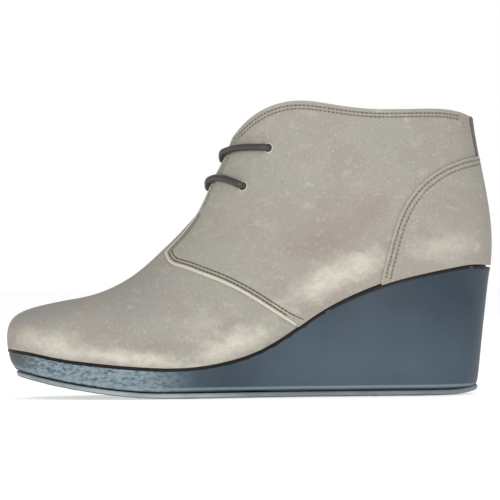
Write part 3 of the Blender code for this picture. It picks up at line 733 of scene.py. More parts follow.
# Patches where the nap is brushed to another shade, as the side shows them: place and reach in
# metres from the toe and the floor, lean in degrees, the nap's colour and how strong it is. The
# grey ones over the vamp ahead of the flap and at the toe's top are painted shade, and the pale
# ones low down near the sole are painted light from below.
Patch = namedtuple("Patch", "x z long high lean shade amount")
PATCHES = (
    Patch(0.066, 0.048, 0.026, 0.013, 35, "suede_grey_and_shade", 0.85),
    Patch(0.100, 0.050, 0.026, 0.007, -28, "suede_grey_and_shade", 0.45),
    Patch(0.018, 0.042, 0.026, 0.007, 14, "suede_grey_and_shade", 1.00),
    Patch(0.050, 0.034, 0.016, 0.006, 5, "suede_rose", 0.35),
    Patch(0.078, 0.027, 0.026, 0.005, -4, "suede_rose", 0.45),
    Patch(0.021, 0.030, 0.020, 0.006, -8, "suede_pale_and_lit", 0.80),
    Patch(0.055, 0.021, 0.050, 0.0045, -7, "suede_pale_and_lit", 0.90),
    Patch(0.114, 0.027, 0.022, 0.008, 26, "suede_pale_and_lit", 0.95),
    Patch(0.100, 0.036, 0.016, 0.008, 20, "suede_pale_and_lit", 0.25),
    Patch(0.108, 0.072, 0.024, 0.012, 20, "suede_green", 0.75),
    Patch(0.140, 0.124, 0.030, 0.010, 8, "suede_green", 0.60),
    Patch(0.160, 0.078, 0.024, 0.013, 12, "suede_rose", 0.85),
    Patch(0.184, 0.092, 0.016, 0.010, 40, "suede_rose", 0.75),
    Patch(0.138, 0.092, 0.016, 0.010, 10, "suede_rose", 0.25),
    Patch(0.159, 0.057, 0.024, 0.009, 30, "suede_pale_and_lit", 1.00),
    Patch(0.180, 0.066, 0.016, 0.007, 25, "suede_pale_and_lit", 0.70),
    Patch(0.190, 0.128, 0.020, 0.010, 0, "suede_green", 0.45),
    Patch(0.170, 0.112, 0.014, 0.008, 0, "suede_grey_and_shade", 0.20),
    Patch(0.212, 0.120, 0.020, 0.008, 0, "suede_rose", 0.25),
    Patch(0.218, 0.074, 0.022, 0.008, 6, "suede_pale_and_lit", 0.55),
    Patch(0.222, 0.096, 0.014, 0.009, 20, "suede_rose", 0.35),
)


def eyelet_centres():
    """Where the four holes stand, in the frame's axes."""
    found = []
    for side in (LATERAL, MEDIAL):
        for place in EYELETS.values():
            station, height = locate(side, place)
            found.append(leather(side, station, height, sizes().flap_thickness)[0])
    return found


DARK_FLECK, DARK_STAY_NAP = (0.22, 0.19, 0.165), (0.10, 0.088, 0.078)
# Painted shade: the first along the stitched seams and the counter's edge, the second just inside
# the eyelets
SEAM_SHADE, PAINTED_EYELET_SHADE = (0.15, 0.130, 0.095), (0.05, 0.04, 0.03)


def suede(name, trim=True, holes=False, tone_shift=0.0):
    """Suede: mottled nap with pale specks, a fine fibre bump and paler cut edges; some patches are
    painted shade and some painted light.

    trim paints the cut edges and painted shade along the stitched seams, holes the pale rims of the
    eyelets with painted shade just inside them, and the last argument is the share of a darker nap.
    """
    finish = Finish(name, 0.93)
    shades = colours()
    vector, (x, y, z) = finish.place()
    broad = finish.noise(vector, 32.0, 2.0, 0.5, 0.4)
    brushed = finish.noise(finish.flattened(vector, 1.5), 130.0, 4.0, 0.65)
    fibre = finish.noise(vector, 1300.0, 2.0, 0.7)
    speck = finish.noise(vector, 820.0, 2.0, 0.6)
    base = finish.mixed(broad.between(0.42, 0.62) * 0.5, shades.suede, shades.suede_green)
    base = finish.mixed(broad.between(0.50, 0.36) * 0.30, base, shades.suede_rose)
    ragged = (brushed - 0.5) * 1.3 + (broad - 0.5) * 1.0
    for patch in PATCHES:
        lean = math.radians(patch.lean)
        along, up = x - (patch.x + ORIGIN[0]), z - patch.z
        u = (along * math.cos(lean) + up * math.sin(lean)) / patch.long
        v = (up * math.cos(lean) - along * math.sin(lean)) / patch.high
        near = (1.35 - (u * u + v * v) ** 0.5 + ragged).between(0.0, 1.5)
        base = finish.mixed(near * patch.amount, base, getattr(shades, patch.shade))
    base = finish.mixed(brushed.between(0.52, 0.74) * 0.24, base, shades.suede_pale_and_lit)
    base = finish.mixed(brushed.between(0.48, 0.30) * 0.26, base, shades.suede_grey_and_shade)
    base = finish.mixed(speck.between(0.58, 0.72) * 0.30, base, shades.suede_pale_and_lit)
    base = finish.mixed(speck.between(0.42, 0.30) * 0.28, base, DARK_FLECK)
    # A share of darker nap
    if tone_shift:
        base = finish.mixed(tone_shift, base, DARK_STAY_NAP)
    if trim:
        # Painted shade along the stitched seams, and on the flaps along the counter's edge
        seam = finish.mark("seam") + (speck - 0.5) * 0.0004
        base = finish.mixed(seam.between(0.00062, 0.0001) * 0.62, base, SEAM_SHADE)
        edge = finish.mark("trim") + (brushed - 0.5) * 0.0007
        base = finish.mixed(edge.between(0.0015, 0.0009) * 0.80, base, shades.raw_edge)
    if holes:
        for centre in eyelet_centres():
            away = finish.node("ShaderNodeVectorMath", {"operation": "DISTANCE"}, vector, centre)[1]
            past_cord = away - 0.5 * sizes().cord
            base = finish.mixed(past_cord.between(0.0012, 0.0006) * 0.7, base, shades.raw_edge)
            # Painted shade just inside the hole's rim
            base = finish.mixed(past_cord.between(0.0005, 0.0002) * 0.9, base, PAINTED_EYELET_SHADE)
    height = fibre * 0.6 + brushed * 0.7 + speck * 0.5
    normal = finish.bump(height, 0.00030, 0.6)
    return finish.set(base_color=base, normal=normal)


def cut_edge(name):
    """The bare cut side of the leather, a little fibrous."""
    finish = Finish(name, 0.95)
    vector, _ = finish.place()
    fibre = finish.noise(vector, 1400.0, 3.0, 0.6)
    base = finish.mixed(fibre.between(0.3, 0.7), (0.50, 0.45, 0.38), colours().raw_edge)
    return finish.set(base_color=base, normal=finish.bump(fibre, 0.0002, 0.5))


def lining_leather(name):
    """Smooth lining leather with a fine pore."""
    finish = Finish(name, 0.72)
    vector, _ = finish.place()
    broad = finish.noise(vector, 60.0, 3.0)
    pore = finish.cells(vector, 1100.0)
    base = finish.mixed(broad.between(0.3, 0.7), colours().lining, (0.47, 0.41, 0.32))
    return finish.set(base_color=base, normal=finish.bump(pore, 0.00012, 0.4))


# Painted shade at the toe's tip
PAINTED_TOE_SHADE = (0.045, 0.045, 0.042)
# Painted shade: the first in the groove above the tread, the second in the gap just under the
# leather
GROOVE_SHADE_BLACK, LEDGE_SHADE_BLACK = (0.012, 0.014, 0.016), (0.003, 0.003, 0.003)
# The second is painted shade along the tread's foot, where it meets the floor
DARK_TREAD, CONTACT_SHADE_BLACK = (0.075, 0.095, 0.11), (0.014, 0.016, 0.018)


def sole_height(x, z):
    """Height over the tread's underside, which springs up towards the toe."""
    share = (x - ORIGIN[0]) / LENGTH
    spring = ((FLAT_FROM - share) / (FLAT_FROM - SPRING_FROM)).maths("MAXIMUM", 0.0)
    return z - spring**SPRING_CURVE * TOE_SPRING


def wedge_rubber(name):
    """Matt slate rubber: painted shade under the seat, at the toe and in the forefoot's pits,
    darker over the waist, and scuffed round the forefoot under a painted highlight.
    """
    finish = Finish(name, 0.55, 0.3)
    shades = colours()
    vector, (x, y, z) = finish.place()
    broad = finish.noise(vector, 30.0, 3.0)
    grain = finish.noise(vector, 1300.0, 2.0, 0.6)
    pits = finish.cells(vector, 620.0)
    scuff = finish.noise(finish.flattened(vector, 2.2), 330.0, 4.0, 0.65)
    fore = ramp(x, 0.098, 0.066) * ramp(x, 0.003, 0.020)
    waist = ramp(x, 0.085, 0.102) * ramp(x, 0.150, 0.110)
    # Painted shade: darker towards the top, under the leather
    base = finish.mixed(z.between(0.018, 0.060), shades.wedge, shades.wedge_dark_and_shade)
    # Painted shade at the toe's tip
    base = finish.mixed(ramp(x, 0.021, 0.006) * 0.9, base, PAINTED_TOE_SHADE)
    # Painted shade at the back of the heel
    base = finish.mixed(ramp(x, 0.222, 0.240) * 0.7, base, shades.wedge_dark_and_shade)
    # Darker over the waist
    base = finish.mixed(waist * 0.7, base, shades.wedge_dark_and_shade)
    base = finish.mixed((broad - 0.5).between(-0.2, 0.25) * 0.07, base, shades.wedge_scuff_and_highlight)
    # Scuffs and a painted highlight round the forefoot
    base = finish.mixed(fore * scuff.between(0.30, 0.60) * 0.92, base, shades.wedge_scuff_and_highlight)
    # Painted shade in the pits of the forefoot
    base = finish.mixed(fore * pits.between(0.30, 0.10) * 0.45, base, shades.wedge_dark_and_shade)
    rise = sole_height(x, z) + (broad - 0.5) * 0.0004
    # A pale line just above the groove: painted highlight on its lip
    line = rise.between(0.0040, 0.0045) * rise.between(0.0058, 0.0052)
    base = finish.mixed(line * 0.5, base, shades.wedge_scuff_and_highlight)
    # Painted shade in the groove between the wedge and the tread
    base = finish.mixed(rise.between(0.0041, 0.0034) * 0.9, base, GROOVE_SHADE_BLACK)
    ledge_shade = finish.mark("ledge_shade")
    # Painted shade: a black line where the wedge meets the leather
    base = finish.mixed(ledge_shade.between(0.3, 0.7), base, LEDGE_SHADE_BLACK)
    rough = fore * 0.10 + 0.50 + (broad - 0.5) * 0.1
    first = finish.bump(grain, 0.00010, 0.35)
    normal = finish.bump(fore * (pits * 0.8 + scuff), 0.0007, 0.7, first)
    return finish.set(base_color=base, roughness=rough, normal=normal)


def tread_rubber(name):
    """Grey-teal rubber of the outsole, with a fine matt grain and painted shade along its foot."""
    finish = Finish(name, 0.6, 0.4)
    vector, (x, y, z) = finish.place()
    broad = finish.noise(vector, 45.0, 4.0, 0.6)
    grain = finish.noise(vector, 900.0, 2.0, 0.6)
    base = finish.mixed(broad.between(0.35, 0.75) * 0.45, colours().outsole, DARK_TREAD)
    base = finish.mixed(ramp(x, 0.085, 0.135) * 0.62, base, DARK_TREAD)
    rise = sole_height(x, z)
    # Painted shade along the tread's foot, where it meets the floor
    base = finish.mixed(rise.between(0.0009, 0.0003) * 0.9, base, CONTACT_SHADE_BLACK)
    return finish.set(base_color=base, normal=finish.bump(grain, 0.00015, 0.4))


def waxed_cord(name):
    """Round braided cord: strands cross along the piece's own map."""
    finish = Finish(name, 0.42, 0.5)
    uv = finish.node("ShaderNodeTexCoord", {})[2]
    u, v, _ = finish.node("ShaderNodeSeparateXYZ", {}, uv)
    along, around = u * 300.0, v * (8.0 * math.pi)
    left, right = (along + around).maths("SINE"), (along - around).maths("SINE")
    braid = left * right
    vector, _ = finish.place()
    tone_shift = finish.noise(vector, 500.0, 3.0, 0.6)
    lit = braid.between(-1.0, 1.0) * 0.40 + 0.45
    base = finish.mixed(lit, (0.024, 0.020, 0.018), colours().cord)
    base = finish.mixed(tone_shift.between(0.55, 0.8) * 0.25, base, (0.11, 0.10, 0.09))
    return finish.set(base_color=base, normal=finish.bump(braid + tone_shift * 0.5, 0.00012, 0.6))


def thread_finish(name, shade):
    """Twisted thread, with painted shade between its strands."""
    finish = Finish(name, 0.6)
    vector, _ = finish.place()
    twist = finish.noise(vector, 1500.0, 2.0)
    darker = tuple(0.55 * c for c in shade)
    return finish.set(base_color=finish.mixed(twist.between(0.3, 0.7), darker, tuple(shade)))


def needle_hole_shade(name, shade):
    """Painted shade of the dent where the thread goes in, as a plain dark colour."""
    return Finish(name, 0.9).set(base_color=rgba(shade))


def studio_floor(name):
    """Pale floor that glows a little, so that it blends into the background."""
    finish = Finish(name, 0.85)
    vector, _ = finish.place()
    cloud = finish.noise(vector, 3.0, 2.0)
    shade = colours().floor
    lighter = tuple(min(1.0, 1.03 * c) for c in shade)
    finish.shader.inputs["Emission Color"].default_value = (1.0, 1.0, 1.0, 1.0)
    finish.shader.inputs["Emission Strength"].default_value = 0.55
    return finish.set(base_color=finish.mixed(cloud, tuple(shade), lighter))


# Stitch rows by their distance from the cut edge, and how they pull the leather in
FLAP_ROWS = (0.0022, 0.0039)
COUNTER_ROWS = (0.0017, 0.0041)
FURROW_DEPTH, FURROW_WIDTH = 0.00022, 0.00045


def furrow(distance, rows):
    """How deep the stitch rows pull the leather in, by distance from its edge."""
    depth = np.zeros_like(distance)
    for row in rows:
        depth += FURROW_DEPTH * np.exp(-(((distance - row) / FURROW_WIDTH) ** 2))
    return depth


def stations_between(first, last, step, fine_start=0.0):
    """Stations with about this spacing along the last, closer together just after the first."""
    per_station = LENGTH * 1.14 / HEEL
    count = max(2, round((last - first) * per_station / step))
    share = np.linspace(0.0, 1.0, count + 1)
    if fine_start:
        share = share + (share**2 - share) * fine_start
    return first + (last - first) * share


def column_heights(side, stations, low, high, step):
    """Heights up each rib for a grid with one number of rows, closer near the cut edges."""
    tables = []
    for s, a, b in zip(stations, low, high):
        t = a + (b - a) * np.linspace(0.0, 1.0, 60)
        tables.append((t, run_along(bezier(ribs(side, np.full(60, s)), t))))
    rows = len(spread(max(run[-1] for _, run in tables), step))
    count = rows - 2 * len(FINE)
    columns = []
    for t, run in tables:
        head = np.array(FINE) * min(1.0, 0.45 * run[-1] / FINE[-1])
        tail = run[-1] - head[::-1]
        middle = head[-1] + (tail[0] - head[-1]) * np.arange(1, count + 1) / (count + 1)
        columns.append(np.interp(np.concatenate([head, middle, tail]), run, t))
    return np.array(columns)


def lower_edge(side, line, stations, high):
    """How high each rib crosses a pattern's edge, or 0 where the edge is below the sole line."""
    def past(t):
        return beyond_edge(line, *side_view(side, stations, t))

    foot = past(np.zeros(len(stations)))
    found = halve(past, np.zeros(len(stations)), high)
    return np.where(foot > 0, 0.0, found)


def flap_outline(side):
    """The flap's columns: stations, and the heights where each starts and ends."""
    line = edge_curve(FLAP_EDGE)
    trial = np.linspace(4.2, 5.6, 281)
    top = flap_end(side, trial)
    inside = beyond_edge(line, *side_view(side, trial, top)) > 0
    first = trial[np.argmax(inside)]
    head = stations_between(first + 0.002, first + 0.5, 0.0005, 0.8)
    rest = stations_between(first + 0.5, HEEL - 0.004, sizes().leather_step)
    stations = np.concatenate([head, rest[1:]])
    high = np.minimum(flap_end(side, stations), wall_end(side, stations))
    low = lower_edge(side, line, stations, high)
    return stations, low, high


def outline_lines(side, stations, low, high, out):
    """The lower and upper cut edges of a panel as lines in space."""
    cut = low > 1e-6
    lower = leather(side, stations[cut], low[cut], out)[0]
    upper = leather(side, stations, high, out)[0]
    return [lower, upper]


def pale_lines(side, out):
    """The flap's edges that show their pale cut: the lower one, and the front one to the lace."""
    stations, low, high = flap_outline(side)
    lower, _ = outline_lines(side, stations, low, high, out)
    front = stations < 6.9
    return [lower, leather(side, stations[front], high[front], out)[0]]


def flap_face():
    """Height of the flaps' faces over the last."""
    return FLAP_GAP + sizes().flap_thickness


def counter_face():
    """Height of the heel counter's face over the last."""
    return OVERLAY_GAP + sizes().flap_thickness + sizes().counter_thickness


def make_flap(side, name, nap, edge):
    """One flap, cut to its outline, with its stitch rows pulled in a little."""
    stations, low, high = flap_outline(side)
    heights = column_heights(side, stations, low, high, sizes().leather_step)
    points, _ = leather(side, stations[:, None], heights, flap_face())
    lines = outline_lines(side, stations, low, high, flap_face())
    near_edge = distance_to_lines(points.reshape(-1, 3), lines).reshape(heights.shape)
    level = flap_face() - furrow(near_edge, FLAP_ROWS)
    points, _ = leather(side, stations[:, None], heights, level)
    piece = sheet(name, points, flip=side == LATERAL)
    coat(piece, nap, edge)
    thicken(piece, sizes().flap_thickness)
    return piece


def punch(piece, side):
    """Cuts the two eyelet holes of one side."""
    for name, place in EYELETS.items():
        station, height = locate(side, place)
        centre, normal = leather(side, station, height)
        radius = 0.5 * sizes().cord + HOLE_PLAY
        deselect()
        bpy.ops.mesh.primitive_cylinder_add(
            vertices=28, radius=radius, depth=0.016, location=centre,
            rotation=Vector(normal).to_track_quat("Z", "Y").to_euler(),
        )
        pin = bpy.context.object
        apply_modifier(piece, "BOOLEAN", operation="DIFFERENCE", object=pin, solver="EXACT")
        bpy.data.objects.remove(pin)


def locate(side, place):
    """Station and height up the rib of a point given as the side shows it."""
    x, z = place[0] * LENGTH, place[1] * BOOT_HEIGHT
    best = np.array([8.0, 0.8])
    for _ in range(30):
        here = np.array(side_view(side, best[:1], best[1:]))[:, 0]
        along = (np.array(side_view(side, best[:1] + 0.01, best[1:]))[:, 0] - here) / 0.01
        up = (np.array(side_view(side, best[:1], best[1:] + 0.001))[:, 0] - here) / 0.001
        step = np.linalg.solve(np.stack([along, up], 1), np.array([x, z]) - here)
        best = best + np.clip(step, -0.5, 0.5)
        best[1] = min(best[1], 0.995)
    return best


class BOOT_OT_upper(Operator):
    """The lasted wall: vamp and shaft, with its lining inside"""

    bl_idname = "boot.upper"
    bl_label = "Upper"

    def execute(self, context):
        step = sizes().leather_step
        slit_tip = SLIT_START + np.array([0.002, 0.006, 0.012, 0.02, 0.03, 0.042])
        before = stations_between(0.0, SLIT_START, step)
        after = stations_between(SLIT_START, HEEL, step)
        stations = np.unique(np.round(np.concatenate([before, slit_tip, after[1:]]), 6))
        halves = []
        for side in (LATERAL, MEDIAL):
            heights = wall_end(side, stations)[:, None] * np.linspace(0.0, 1.0, 64)[None, :]
            points, _ = leather(side, stations[:, None], heights, 0.0)
            points[stations <= SLIT_START, -1, 1] = ORIGIN[1]
            halves.append(sheet(f"upper_half_{side}", points, flip=side == LATERAL))
        piece = join("upper_leather", halves)
        coat(piece, suede("vamp suede"), lining_leather("shaft lining"), cut_edge("wall edge"))
        apply_modifier(
            piece, "SOLIDIFY", thickness=WALL, offset=-1.0, use_quality_normals=True,
            material_offset=1, material_offset_rim=2,
        )
        for side in (LATERAL, MEDIAL):
            punch(piece, side)
        for name in ("trim", "seam"):
            mark(piece, name, np.full(len(piece.data.vertices), FAR))
        dress(piece, "upper")
        smooth(piece)
        return {"FINISHED"}


class BOOT_OT_flaps(Operator):
    """The two quarters that lap over the vamp, with their punched holes"""

    bl_idname = "boot.flaps"
    bl_label = "Flaps"

    def execute(self, context):
        nap, edge = suede("flap suede", holes=True), cut_edge("flap edge")
        for side, name in ((LATERAL, "lateral"), (MEDIAL, "medial")):
            piece = make_flap(side, f"flap_{name}", nap, edge)
            punch(piece, side)
            mark_distance(piece, "trim", pale_lines(side, sizes().flap_thickness))
            dark, light = flap_rows(side)
            level = sizes().flap_thickness
            # Painted shade along the stitch rows, and a painted shadow along the counter's edge
            shadow = leather(side, *counter_edge_places(), level)[0]
            mark_distance(piece, "seam", row_lines(side, dark + light, level) + [shadow])
            dress(piece, f"quarter_{name}")
            smooth(piece)
        return {"FINISHED"}


def counter_edge_places():
    """The counter's upper edge on the lateral leather: evenly spaced stations and heights."""
    line = edge_curve(COUNTER_EDGE)
    stations = np.linspace(8.8, HEEL, 900)
    high = wall_end(LATERAL, stations)
    foot = beyond_edge(line, *side_view(LATERAL, stations, np.zeros(len(stations)))) > 0
    first = np.argmax(foot)
    stations, high = stations[first:], high[first:]

    def past(t):
        return beyond_edge(line, *side_view(LATERAL, stations, t))

    top = halve(past, np.zeros(len(stations)), high)
    run = run_along(bezier(ribs(LATERAL, stations), top))
    even = np.linspace(0.0, run[-1], round(run[-1] / 0.0012))
    return np.interp(even, run, stations), np.interp(even, run, top)


# How far the counter runs down, and how much narrower its pale edge is than the flaps'
COUNTER_REACH, NARROWER = 0.055, 0.0011
# The share of a rib by which its foot meets the wedge
FOOT_DROP = 0.008


class BOOT_OT_counter(Operator):
    """The overlay round the heel"""

    bl_idname = "boot.counter"
    bl_label = "Heel counter"

    def execute(self, context):
        stations, top = counter_edge_places()
        share = np.linspace(0.0, 1.0, len(stations))
        foot = stations[0] + (HEEL - stations[0]) * share**1.1
        rows = spread(COUNTER_REACH, sizes().leather_step, False) / COUNTER_REACH
        level = counter_face()
        sheets = []
        edges = []
        for side in (LATERAL, MEDIAL):
            s = stations[:, None] + (foot - stations)[:, None] * rows[None, :]
            t = top[:, None] * (1.0 - rows[None, :]) - FOOT_DROP * rows[None, :] ** 12
            points, _ = leather(side, s, t, level)
            edge = points[:, 0].copy()
            depth = furrow(distance_to_lines(points.reshape(-1, 3), [edge]), COUNTER_ROWS)
            points, _ = leather(side, s, t, level - depth.reshape(s.shape))
            points[-1, :, 1] = ORIGIN[1]
            sheets.append(sheet(f"counter_half_{side}", points, flip=side == MEDIAL))
            edges.append(edge)
        piece = join("counter_leather", sheets)
        coat(piece, suede("counter suede"), cut_edge("counter edge"))
        thicken(piece, sizes().counter_thickness)
        mark(piece, "trim", distance_to_lines(corners(piece), edges) + NARROWER)
        level = sizes().flap_thickness + sizes().counter_thickness
        seams = []
        for side in (LATERAL, MEDIAL):
            seams += row_lines(side, counter_rows(side), level)
        # Painted shade along the counter's stitch rows
        mark_distance(piece, "seam", seams)
        dress(piece, "heel_counter")
        smooth(piece)
        return {"FINISHED"}


class BOOT_OT_back_stay(Operator):
    """The strip over the seam at the back, from the counter to the collar"""

    bl_idname = "boot.back_stay"
    bl_label = "Back stay"

    def execute(self, context):
        level = OVERLAY_GAP + sizes().flap_thickness + STAY_THICKNESS
        foot = STAY_FOOT * BOOT_HEIGHT
        sheets = []
        for side in (LATERAL, MEDIAL):
            stations = np.linspace(HEEL - STAY_STATIONS, HEEL, 12)
            start = halve(
                lambda t: side_view(side, stations, t)[1] - foot,
                np.full(12, 0.3), np.ones(12),
            )
            high = wall_end(side, stations)
            share = np.linspace(0.0, 1.0, 26)
            heights = start[:, None] + (high - start)[:, None] * share
            points, _ = leather(side, stations[:, None], heights, level)
            points[-1, :, 1] = ORIGIN[1]
            sheets.append(sheet(f"stay_half_{side}", points, flip=side == LATERAL))
        piece = join("stay_leather", sheets)
        coat(piece, suede("stay suede", trim=False, tone_shift=0.75))
        thicken(piece, STAY_THICKNESS, 0.0003, 2)
        dress(piece, "back_stay")
        smooth(piece)
        return {"FINISHED"}


class BOOT_OT_tongue(Operator):
    """The leaf under the flaps and the lace"""

    bl_idname = "boot.tongue"
    bl_label = "Tongue"

    def execute(self, context):
        piece = copy_of("tongue", "tongue_leather")
        crease_edges(piece, 60, 0.7)
        apply_modifier(piece, "SUBSURF", levels=3, render_levels=3)
        coat(piece, suede("tongue suede", trim=False))
        dress(piece, "tongue")
        smooth(piece, 60)
        return {"FINISHED"}


class BOOT_OT_insole(Operator):
    """The footbed inside the boot"""

    bl_idname = "boot.insole"
    bl_label = "Insole"

    def execute(self, context):
        piece = copy_of("insole", "footbed")
        crease_edges(piece, 50, 0.9)
        apply_modifier(piece, "SUBSURF", levels=2, render_levels=2)
        coat(piece, lining_leather("footbed leather"))
        dress(piece, "insole")
        smooth(piece)
        return {"FINISHED"}


# How far the painted shade line under the leather runs down the wedge
LEDGE = 0.0013


class BOOT_OT_sole(Operator):
    """The moulded wedge and the tread layer under it"""

    bl_idname = "boot.sole"
    bl_label = "Sole"

    def execute(self, context):
        wedge = copy_of("wedge", "wedge_sole")
        crease_edges(wedge, 50, 1.0)
        apply_modifier(wedge, "SUBSURF", levels=2, render_levels=2)
        places = corners(wedge)
        line = feather_height(np.clip(places[:, 0] - ORIGIN[0], 0.0, LENGTH)) - places[:, 2]
        # Marks the top band of the wedge, just under the leather, for a painted shade line
        mark(wedge, "ledge_shade", (line < LEDGE).astype(float))
        coat(wedge, wedge_rubber("wedge rubber"))
        dress(wedge, "wedge")
        smooth(wedge)
        outsole = copy_of("outsole", "outsole_tread")
        crease_edges(outsole, 30, 1.0)
        apply_modifier(outsole, "SUBSURF", levels=1, render_levels=1)
        coat(outsole, tread_rubber("tread rubber"))
        dress(outsole, "outsole")
        smooth(outsole, 30)
        return {"FINISHED"}


def even_places(side, places, pitch, out):
    """Stations and heights moved to equal steps along the leather."""
    points, _ = leather(side, places[:, 0], places[:, 1], out)
    run = run_along(points)
    count = max(2, round(run[-1] / pitch))
    even = np.linspace(0.0, run[-1], count + 1)
    return np.stack([np.interp(even, run, places[:, 0]), np.interp(even, run, places[:, 1])], 1)


def inset_row(side, places, distance, inward):
    """A row of places moved over the leather by a distance, square to the row.

    inward is a place that the row moves towards, as a station and a height.
    """
    place, normal = leather(side, places[:, 0], places[:, 1])
    along = unit(np.gradient(place, axis=0))
    across = unit(np.cross(normal, along))
    target, _ = leather(side, inward[0], inward[1])
    middle = len(place) // 2
    if np.dot(across[middle], target - place[middle]) < 0:
        across = -across
    step = 0.004
    by_station = (leather(side, places[:, 0] + step, places[:, 1])[0] - place) / step
    up = np.minimum(places[:, 1], 1.0 - step)
    by_height = leather(side, places[:, 0], up + step)[0] - leather(side, places[:, 0], up)[0]
    by_height /= step
    moves = [
        np.linalg.lstsq(np.stack([a, b], 1), c, rcond=None)[0]
        for a, b, c in zip(by_station, by_height, across * distance)
    ]
    return places + np.array(moves)


def stitch_shape():
    """One stitch: a short round bar of thread with its ends tucked under."""
    deselect()
    bpy.ops.mesh.primitive_uv_sphere_add(segments=8, ring_count=6, radius=0.5)
    shape = bpy.context.object
    places = corners(shape)
    faces = [tuple(face.vertices) for face in shape.data.polygons]
    bpy.data.objects.remove(shape)
    return places[:, [2, 0, 1]], faces


def sew(name, rows, thread, hole_shade_finish):
    """Stitches along rows, each row a side, places and the level of the leather there."""
    shape, faces = stitch_shape()
    pitch, length, thick = sizes().stitch_pitch, sizes().stitch_length, sizes().thread
    points = []
    all_faces = []
    materials = []
    for side, places, out in rows:
        even = even_places(side, places, pitch, out)
        start, normal = leather(side, even[:, 0], even[:, 1], out)
        for i in range(len(start) - 1):
            middle = 0.5 * (start[i] + start[i + 1])
            along = unit(start[i + 1] - start[i])
            up = unit(0.5 * (normal[i] + normal[i + 1]))
            across = np.cross(up, along)
            base = len(points) * len(shape)
            bar = shape * np.array([length, thick, thick * 0.9])
            bar[:, 2] -= 0.5 * thick * (np.abs(shape[:, 0]) * 2) ** 3
            points.append(middle + bar @ np.stack([along, across, up]))
            all_faces += [tuple(base + v for v in face) for face in faces]
            materials += [0] * len(faces)
            base = len(points) * len(shape)
            # A small dark blob at each stitch's start: painted shade of the needle hole
            hole = shape * np.array([0.00075, 0.00072, 0.00026])
            points.append(start[i] + hole @ np.stack([along, across, up]))
            all_faces += [tuple(base + v for v in face) for face in faces]
            materials += [1] * len(faces)
    mesh = bpy.data.meshes.new(name)
    mesh.from_pydata(np.concatenate(points).tolist(), [], all_faces)
    piece = bpy.data.objects.new(name, mesh)
    bpy.context.scene.collection.objects.link(piece)
    coat(piece, thread, hole_shade_finish)
    dress(piece, None)
    mesh.polygons.foreach_set("material_index", materials)
    pick(piece)
    bpy.ops.object.shade_smooth()
    return piece


def flap_rows(side):
    """The flap's rows of stitches as places on the leather: the dark ones and the light ones."""
    columns, low, high = flap_outline(side)
    cut = (low > 1e-6) & (high - low > 0.03)
    bottom = np.stack([columns[cut], low[cut]], 1)[::4]
    beyond = bottom[-1] + (bottom[-1] - bottom[-2]) * np.arange(1, 4)[:, None]
    bottom = np.concatenate([bottom, beyond])
    front = np.stack([columns, high], 1)
    front = front[(columns > columns[0] + 0.10) & (columns < HEEL - 0.62)][::3]
    dark, light = [], []
    for distance in FLAP_ROWS:
        row = inset_row(side, bottom, distance, (8.0, 0.5))
        dark.append(row[row[:, 1] > 0.01])
        row = inset_row(side, front, distance, (8.5, 0.5))
        dark.append(row[row[:, 0] < 6.3])
        light.append(row[row[:, 0] >= 6.3])
    return dark, light


def counter_rows(side):
    """The heel counter's two rows of stitches as places on the leather."""
    stations, top = counter_edge_places()
    edge = np.stack([stations, top], 1)[::3]
    rows = [inset_row(side, edge, distance, (12.0, 0.1)) for distance in COUNTER_ROWS]
    return [row[(row[:, 1] > 0.01) & (row[:, 0] < HEEL)] for row in rows]


def row_lines(side, rows, out):
    """Rows of places as lines in space."""
    return [leather(side, row[:, 0], row[:, 1], out)[0] for row in rows]


SUNK = 0.00006


class BOOT_OT_stitches(Operator):
    """The rows of stitches round the flaps and along the heel counter"""

    bl_idname = "boot.stitches"
    bl_label = "Stitches"

    def execute(self, context):
        light, dark = [], []
        flap_level, counter_level = flap_face() - SUNK, counter_face() - SUNK
        for side in (LATERAL, MEDIAL):
            dark_rows, light_rows = flap_rows(side)
            dark += [(side, row, flap_level) for row in dark_rows]
            light += [(side, row, flap_level) for row in light_rows]
            light += [(side, row, counter_level) for row in counter_rows(side)]
        sew(
            "stitches_light", light, thread_finish("light thread", colours().thread_light),
            needle_hole_shade("pale needle hole shade", (0.130, 0.110, 0.092)),
        )
        sew(
            "stitches_dark", dark, thread_finish("dark thread", colours().thread_dark),
            needle_hole_shade("dark needle hole shade", (0.035, 0.028, 0.022)),
        )
        return {"FINISHED"}


def lace_turn(side, name, run, face, outward):
    """The lace's quarter turn from an eyelet's axis to the leather's face, towards run."""
    station, height = locate(side, EYELETS[name])
    centre, axis = leather(side, station, height)
    run = run - centre
    run = unit(run - axis * np.dot(run, axis))
    radius = 0.5 * sizes().cord + HOLE_PLAY
    turn = []
    for degrees in (0, 22, 45, 68, 90):
        angle = math.radians(degrees)
        depth = face + outward * radius * math.sin(angle)
        turn.append(centre + axis * depth + run * radius * (1 - math.cos(angle)))
    return turn


def over(side, start, end, share, level):
    """A point over or under the leather, part of the way between two places on it."""
    station, height = (1 - share) * np.array(start) + share * np.array(end)
    return leather(side, station, height, level)[0]


def bar_half(side, name):
    """Half a bar, from its eyelet over the flap to the flap's front edge."""
    level = flap_face() + 0.5 * sizes().cord + 0.0001
    start = locate(side, EYELETS[name])
    station = BAR_STATIONS[name]
    end = (station, wall_end(side, np.array([station]))[0])
    route = lace_turn(side, name, over(side, start, end, 0.1, 0.0), flap_face(), 1)
    for share in (0.3, 0.5, 0.7, 0.9, 1.0):
        route.append(over(side, start, end, share, level))
    return route


BAR_SAG, BAR_SINK = 0.0030, 0.0012


